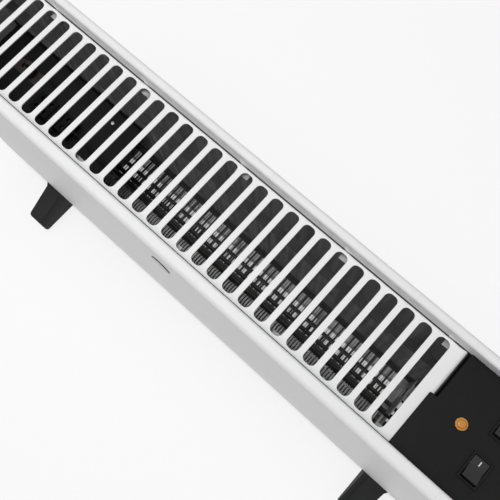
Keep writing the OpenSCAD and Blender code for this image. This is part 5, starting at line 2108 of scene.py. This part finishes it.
    def pilot_lamp(self) -> None:
        """Shapes the domed lens with its flange and stem."""
        x, y = self.lamp
        radius, flange = self.flange
        step, rise, bend = self.dome
        lens = Workpiece.round("lamp_lens", (x, y, self.top + flange / 2), radius, flange, Axis.Z, 40)
        lens.pick_at(Part.FACE, z=self.top + flange)
        lens.inset(step)
        lens.extrude((0.0, 0.0, rise))
        lens.pick_at(Part.EDGE, z=self.top + flange + rise)
        lens.bevel(bend, 6)
        lens.pick_at(Part.FACE, z=self.top, facing=-Axis.Z.vector)
        lens.inset(step)
        lens.extrude((0.0, 0.0, -self.shank))
        lens.leave()
        lens.soften(0.15, 2, 60.0)
        lens.smooth()
        lens.hand_over(AMBER_LENS, Body.CASE, "pilot_lens")


@dataclass
class Feet:
    """Two splayed feet below the case ends, and their rubber pads.

    Attributes:
        crease: how far the crease lies from the straight flank.
        root: how much the outer flank steps in beside the case and below it.
        pads: place of the pads along X and Y.
    """

    centre: float = FOOT_SCREWS[0]
    half: float = 21.0
    tip: float = 96.75
    low: float = 3.0
    high: float = CASE_LOW
    wall: float = 4.0
    ceiling: float = 3.0
    toe: float = 12.0
    toe_low: float = 5.0
    toe_round: float = 5.0
    corner: float = 4.0
    crease: float = 7.0
    crease_half: float = 2.6
    crease_drop: float = 1.4
    root: tuple[float, float] = (10.5, 8.5)
    tip_taper: float = 13.0
    rib: float = 3.0
    hem: float = 2.0
    pads: tuple[float, float] = (265.54, 77.75)
    pad_half: float = 11.0

    def build(self) -> None:
        """Builds the left foot, turns a copy for the right end, and lays the pads."""
        left = self.shoe()
        right = left.copy("right_shoe")
        left.place((-self.centre, 0.0, 0.0))
        right.place((self.centre, 0.0, 0.0), (0.0, 0.0, 180.0))
        left.hand_over(FOOT_PLASTIC, Body.CASE, "left_foot")
        right.hand_over(FOOT_PLASTIC, Body.CASE, "right_foot")
        self.lay_pads()

    def shoe(self) -> Workpiece:
        """Shapes a foot about the origin, slanted on its left flank.

        Returns:
            The foot, hollow below.
        """
        start = -HALF_DEPTH - self.wall
        valley = self.half - self.crease
        upper = (self.low + self.toe_low, self.high)
        shoe = Workpiece.block("left_shoe", (-self.half, -self.tip, self.low), (self.half, 0.0, self.high))
        for place in (start, -HALF_DEPTH):
            shoe.pick(Part.FACE)
            shoe.cut(place, Axis.Y)
        for side in (-1, 0, 1):
            shoe.pick(Part.FACE)
            shoe.cut(valley + side * self.crease_half, Axis.X)
        shoe.pick_at(Part.VERTEX, y=-self.tip, z=self.high)
        shoe.move((0.0, 0.0, self.low + self.toe - self.high))
        shoe.pick_at(Part.VERTEX, y=start, z=self.high)
        shoe.move((0.0, 0.0, -self.ceiling))
        shoe.pick_at(Part.VERTEX, x=valley, y=(-self.tip, start), z=upper)
        shoe.move((0.0, 0.0, -self.crease_drop))
        for y, inwards in ((-self.tip, self.tip_taper), (start, self.root[0]), (-HALF_DEPTH, self.root[1])):
            shoe.pick_at(Part.VERTEX, x=-self.half, y=y)
            shoe.move((inwards, 0.0, 0.0))
        for x in (self.half, -self.half + self.tip_taper):
            shoe.pick_at(Part.EDGE, x=x, y=-self.tip)
            shoe.bevel(self.corner, 4)
        shoe.pick_at(Part.EDGE, y=-self.tip, z=upper)
        shoe.bevel(self.toe_round, 5)
        shoe.pick_at(Part.FACE, y=0.0)
        shoe.remove(Part.FACE)
        shoe.leave()
        shoe.mirror(Axis.Y)
        shoe.carve(self.hollow(self.rib, HALF_DEPTH - self.hem), self.hollow(self.hem - HALF_DEPTH, -self.rib))
        shoe.soften(0.7, 3, 25.0)
        shoe.smooth(30.0)
        return shoe

    def hollow(self, near: float, far: float) -> Workpiece:
        """Shapes the hollow below one half of a foot.

        Args:
            near: its lower end along Y.
            far: its upper end.

        Returns:
            The cutter.
        """
        inner = self.half - self.wall
        low = (self.root[1] - inner, near, self.low - 1.0)
        return Workpiece.block("hollow", low, (inner, far, self.high - self.ceiling))

    def lay_pads(self) -> None:
        """Lays the four rubber pads."""
        x, y = self.pads
        side = self.pad_half
        model = Workpiece.block("pad", (-side, -side, 0.0), (side, side, self.low))
        model.pick(Part.EDGE, lambda e: runs_along(e, Axis.Z))
        model.bevel(self.corner, 5)
        model.leave()
        model.soften(0.5)
        model.smooth()
        places = [((sx * x, sy * y, 0.0), (0.0, 0.0, 0.0)) for sy in (-1, 1) for sx in (-1, 1)]
        pads = model.scatter("pads", places)
        model.discard()
        pads.hand_over(PAD_RUBBER, Body.CASE, "foot_pads")


@dataclass
class Fixings:
    """Cross-headed screws and the blank oval badge.

    Attributes:
        head: radius and height of a screw's head.
        recess: half the length, half the width and the depth of its cross.
        badge_rises: how far rim and plate stand out.
    """

    foot_seat: float = 32.0
    tray_screw: Point = (-170.0, 28.0, 241.0)
    head: tuple[float, float] = (3.8, 2.2)
    head_round: float = 1.3
    recess: tuple[float, float, float] = (2.0, 0.45, 1.3)
    tray_head: float = 0.55
    shank: tuple[float, float] = (2.0, 7.0)
    badge: Point = (-1.0, -HALF_DEPTH, 351.0)
    badge_radius: float = 9.2
    badge_rim: float = 0.8
    badge_rises: tuple[float, float] = (0.7, 1.0)
    badge_stretch: float = 1.45

    def build(self) -> None:
        """Drives all screws and rivets the badge on."""
        model = self.screw()
        x, *heights = CASE_SCREWS
        places = [((sx * x, HALF_DEPTH, z), (-90.0, 0.0, 0.0)) for sx in (-1, 1) for z in heights]
        self.drive(model, "case_screw_heads", places, "case_screws")
        x, y = FOOT_SCREWS
        places = [((sx * x, sy * y, self.foot_seat), (180.0, 0.0, 0.0)) for sx in (-1, 1) for sy in (-1, 1)]
        self.drive(model, "foot_screw_heads", places, "foot_screws")
        model.pick(Part.FACE)
        model.scale((self.tray_head,) * 3, (0.0, 0.0, 0.0))
        model.leave()
        self.drive(model, "tray_screw", [(self.tray_screw, (0.0, 0.0, 25.0))])
        model.discard()
        rim_rise, plate_rise = self.badge_rises
        self.oval("badge_rim", self.badge_radius, rim_rise, ROCKER_PLASTIC)
        self.oval("badge_plate", self.badge_radius - self.badge_rim, plate_rise, BADGE_PLATE)

    def screw(self) -> Workpiece:
        """Shapes a pan-head screw with a cross recess, its seat at the origin and its head upwards.

        Returns:
            The screw.
        """
        radius, height = self.head
        shank_radius, length = self.shank
        screw = Workpiece.round("screw", (0.0, 0.0, height / 2), radius, height, Axis.Z, 32)
        screw.pick_at(Part.EDGE, z=height)
        screw.bevel(self.head_round, 4)
        screw.pick_at(Part.FACE, z=0.0)
        screw.inset(radius - shank_radius)
        screw.extrude((0.0, 0.0, -length))
        screw.leave()
        reach, half, depth = self.recess
        low, high = height - depth, height + 1.0
        bars = [
            Workpiece.block("recess", (-x, -y, low), (x, y, high)) for x, y in ((reach, half), (half, reach))
        ]
        screw.carve(*bars)
        screw.smooth(30.0, weighted=False)
        return screw

    def drive(self, model: Workpiece, name: str, places: list[tuple[Point, Point]], *replaced: str) -> None:
        """Puts copies of the screw in their places and hands them over as one piece."""
        model.scatter(name, places).hand_over(PLATED_STEEL, Body.CASE, *replaced)

    def oval(self, name: str, radius: float, rise: float, finish: Finish) -> None:
        """Shapes one oval plate of the badge.

        Args:
            name: its name.
            radius: half its width.
            rise: how far it stands out.
            finish: its finish.
        """
        x, y, z = self.badge
        plate = Workpiece.round(name, (x, y - rise / 2, z), radius, rise, Axis.Y, 64)
        plate.pick(Part.FACE)
        plate.scale((1.0, 1.0, self.badge_stretch), self.badge)
        plate.leave()
        plate.soften(0.25, 3)
        plate.smooth()
        plate.hand_over(finish, Body.CASE)


class Heater:
    """The whole heater, its sub-assemblies built in order."""

    def __init__(self) -> None:
        """Sets out the sub-assemblies."""
        case = [Enclosure(), EndCaps(), Outlet()]
        self.steps = [*case, HeatBattery(), Wiring(), ControlPanel(), Feet(), Fixings()]

    def build(self) -> None:
        """Dresses the CAD nodes that stay, then builds each sub-assembly."""
        self.dress_nodes()
        for step in self.steps:
            step.build()

    def dress_nodes(self) -> None:
        """Gives every CAD node its finish."""
        for name, finish in NODE_FINISHES.items():
            node = frame["nodes"][name]
            node.data.materials.clear()
            node.data.materials.append(finish.material())
        log.info("%d CAD nodes have their finishes", len(NODE_FINISHES))


def main() -> None:
    """Builds the studio and the heater."""
    logging.basicConfig(level=logging.INFO, format="%(name)s: %(message)s")
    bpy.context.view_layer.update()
    Studio().build()
    Heater().build()


if __name__ == "__main__":
    main()
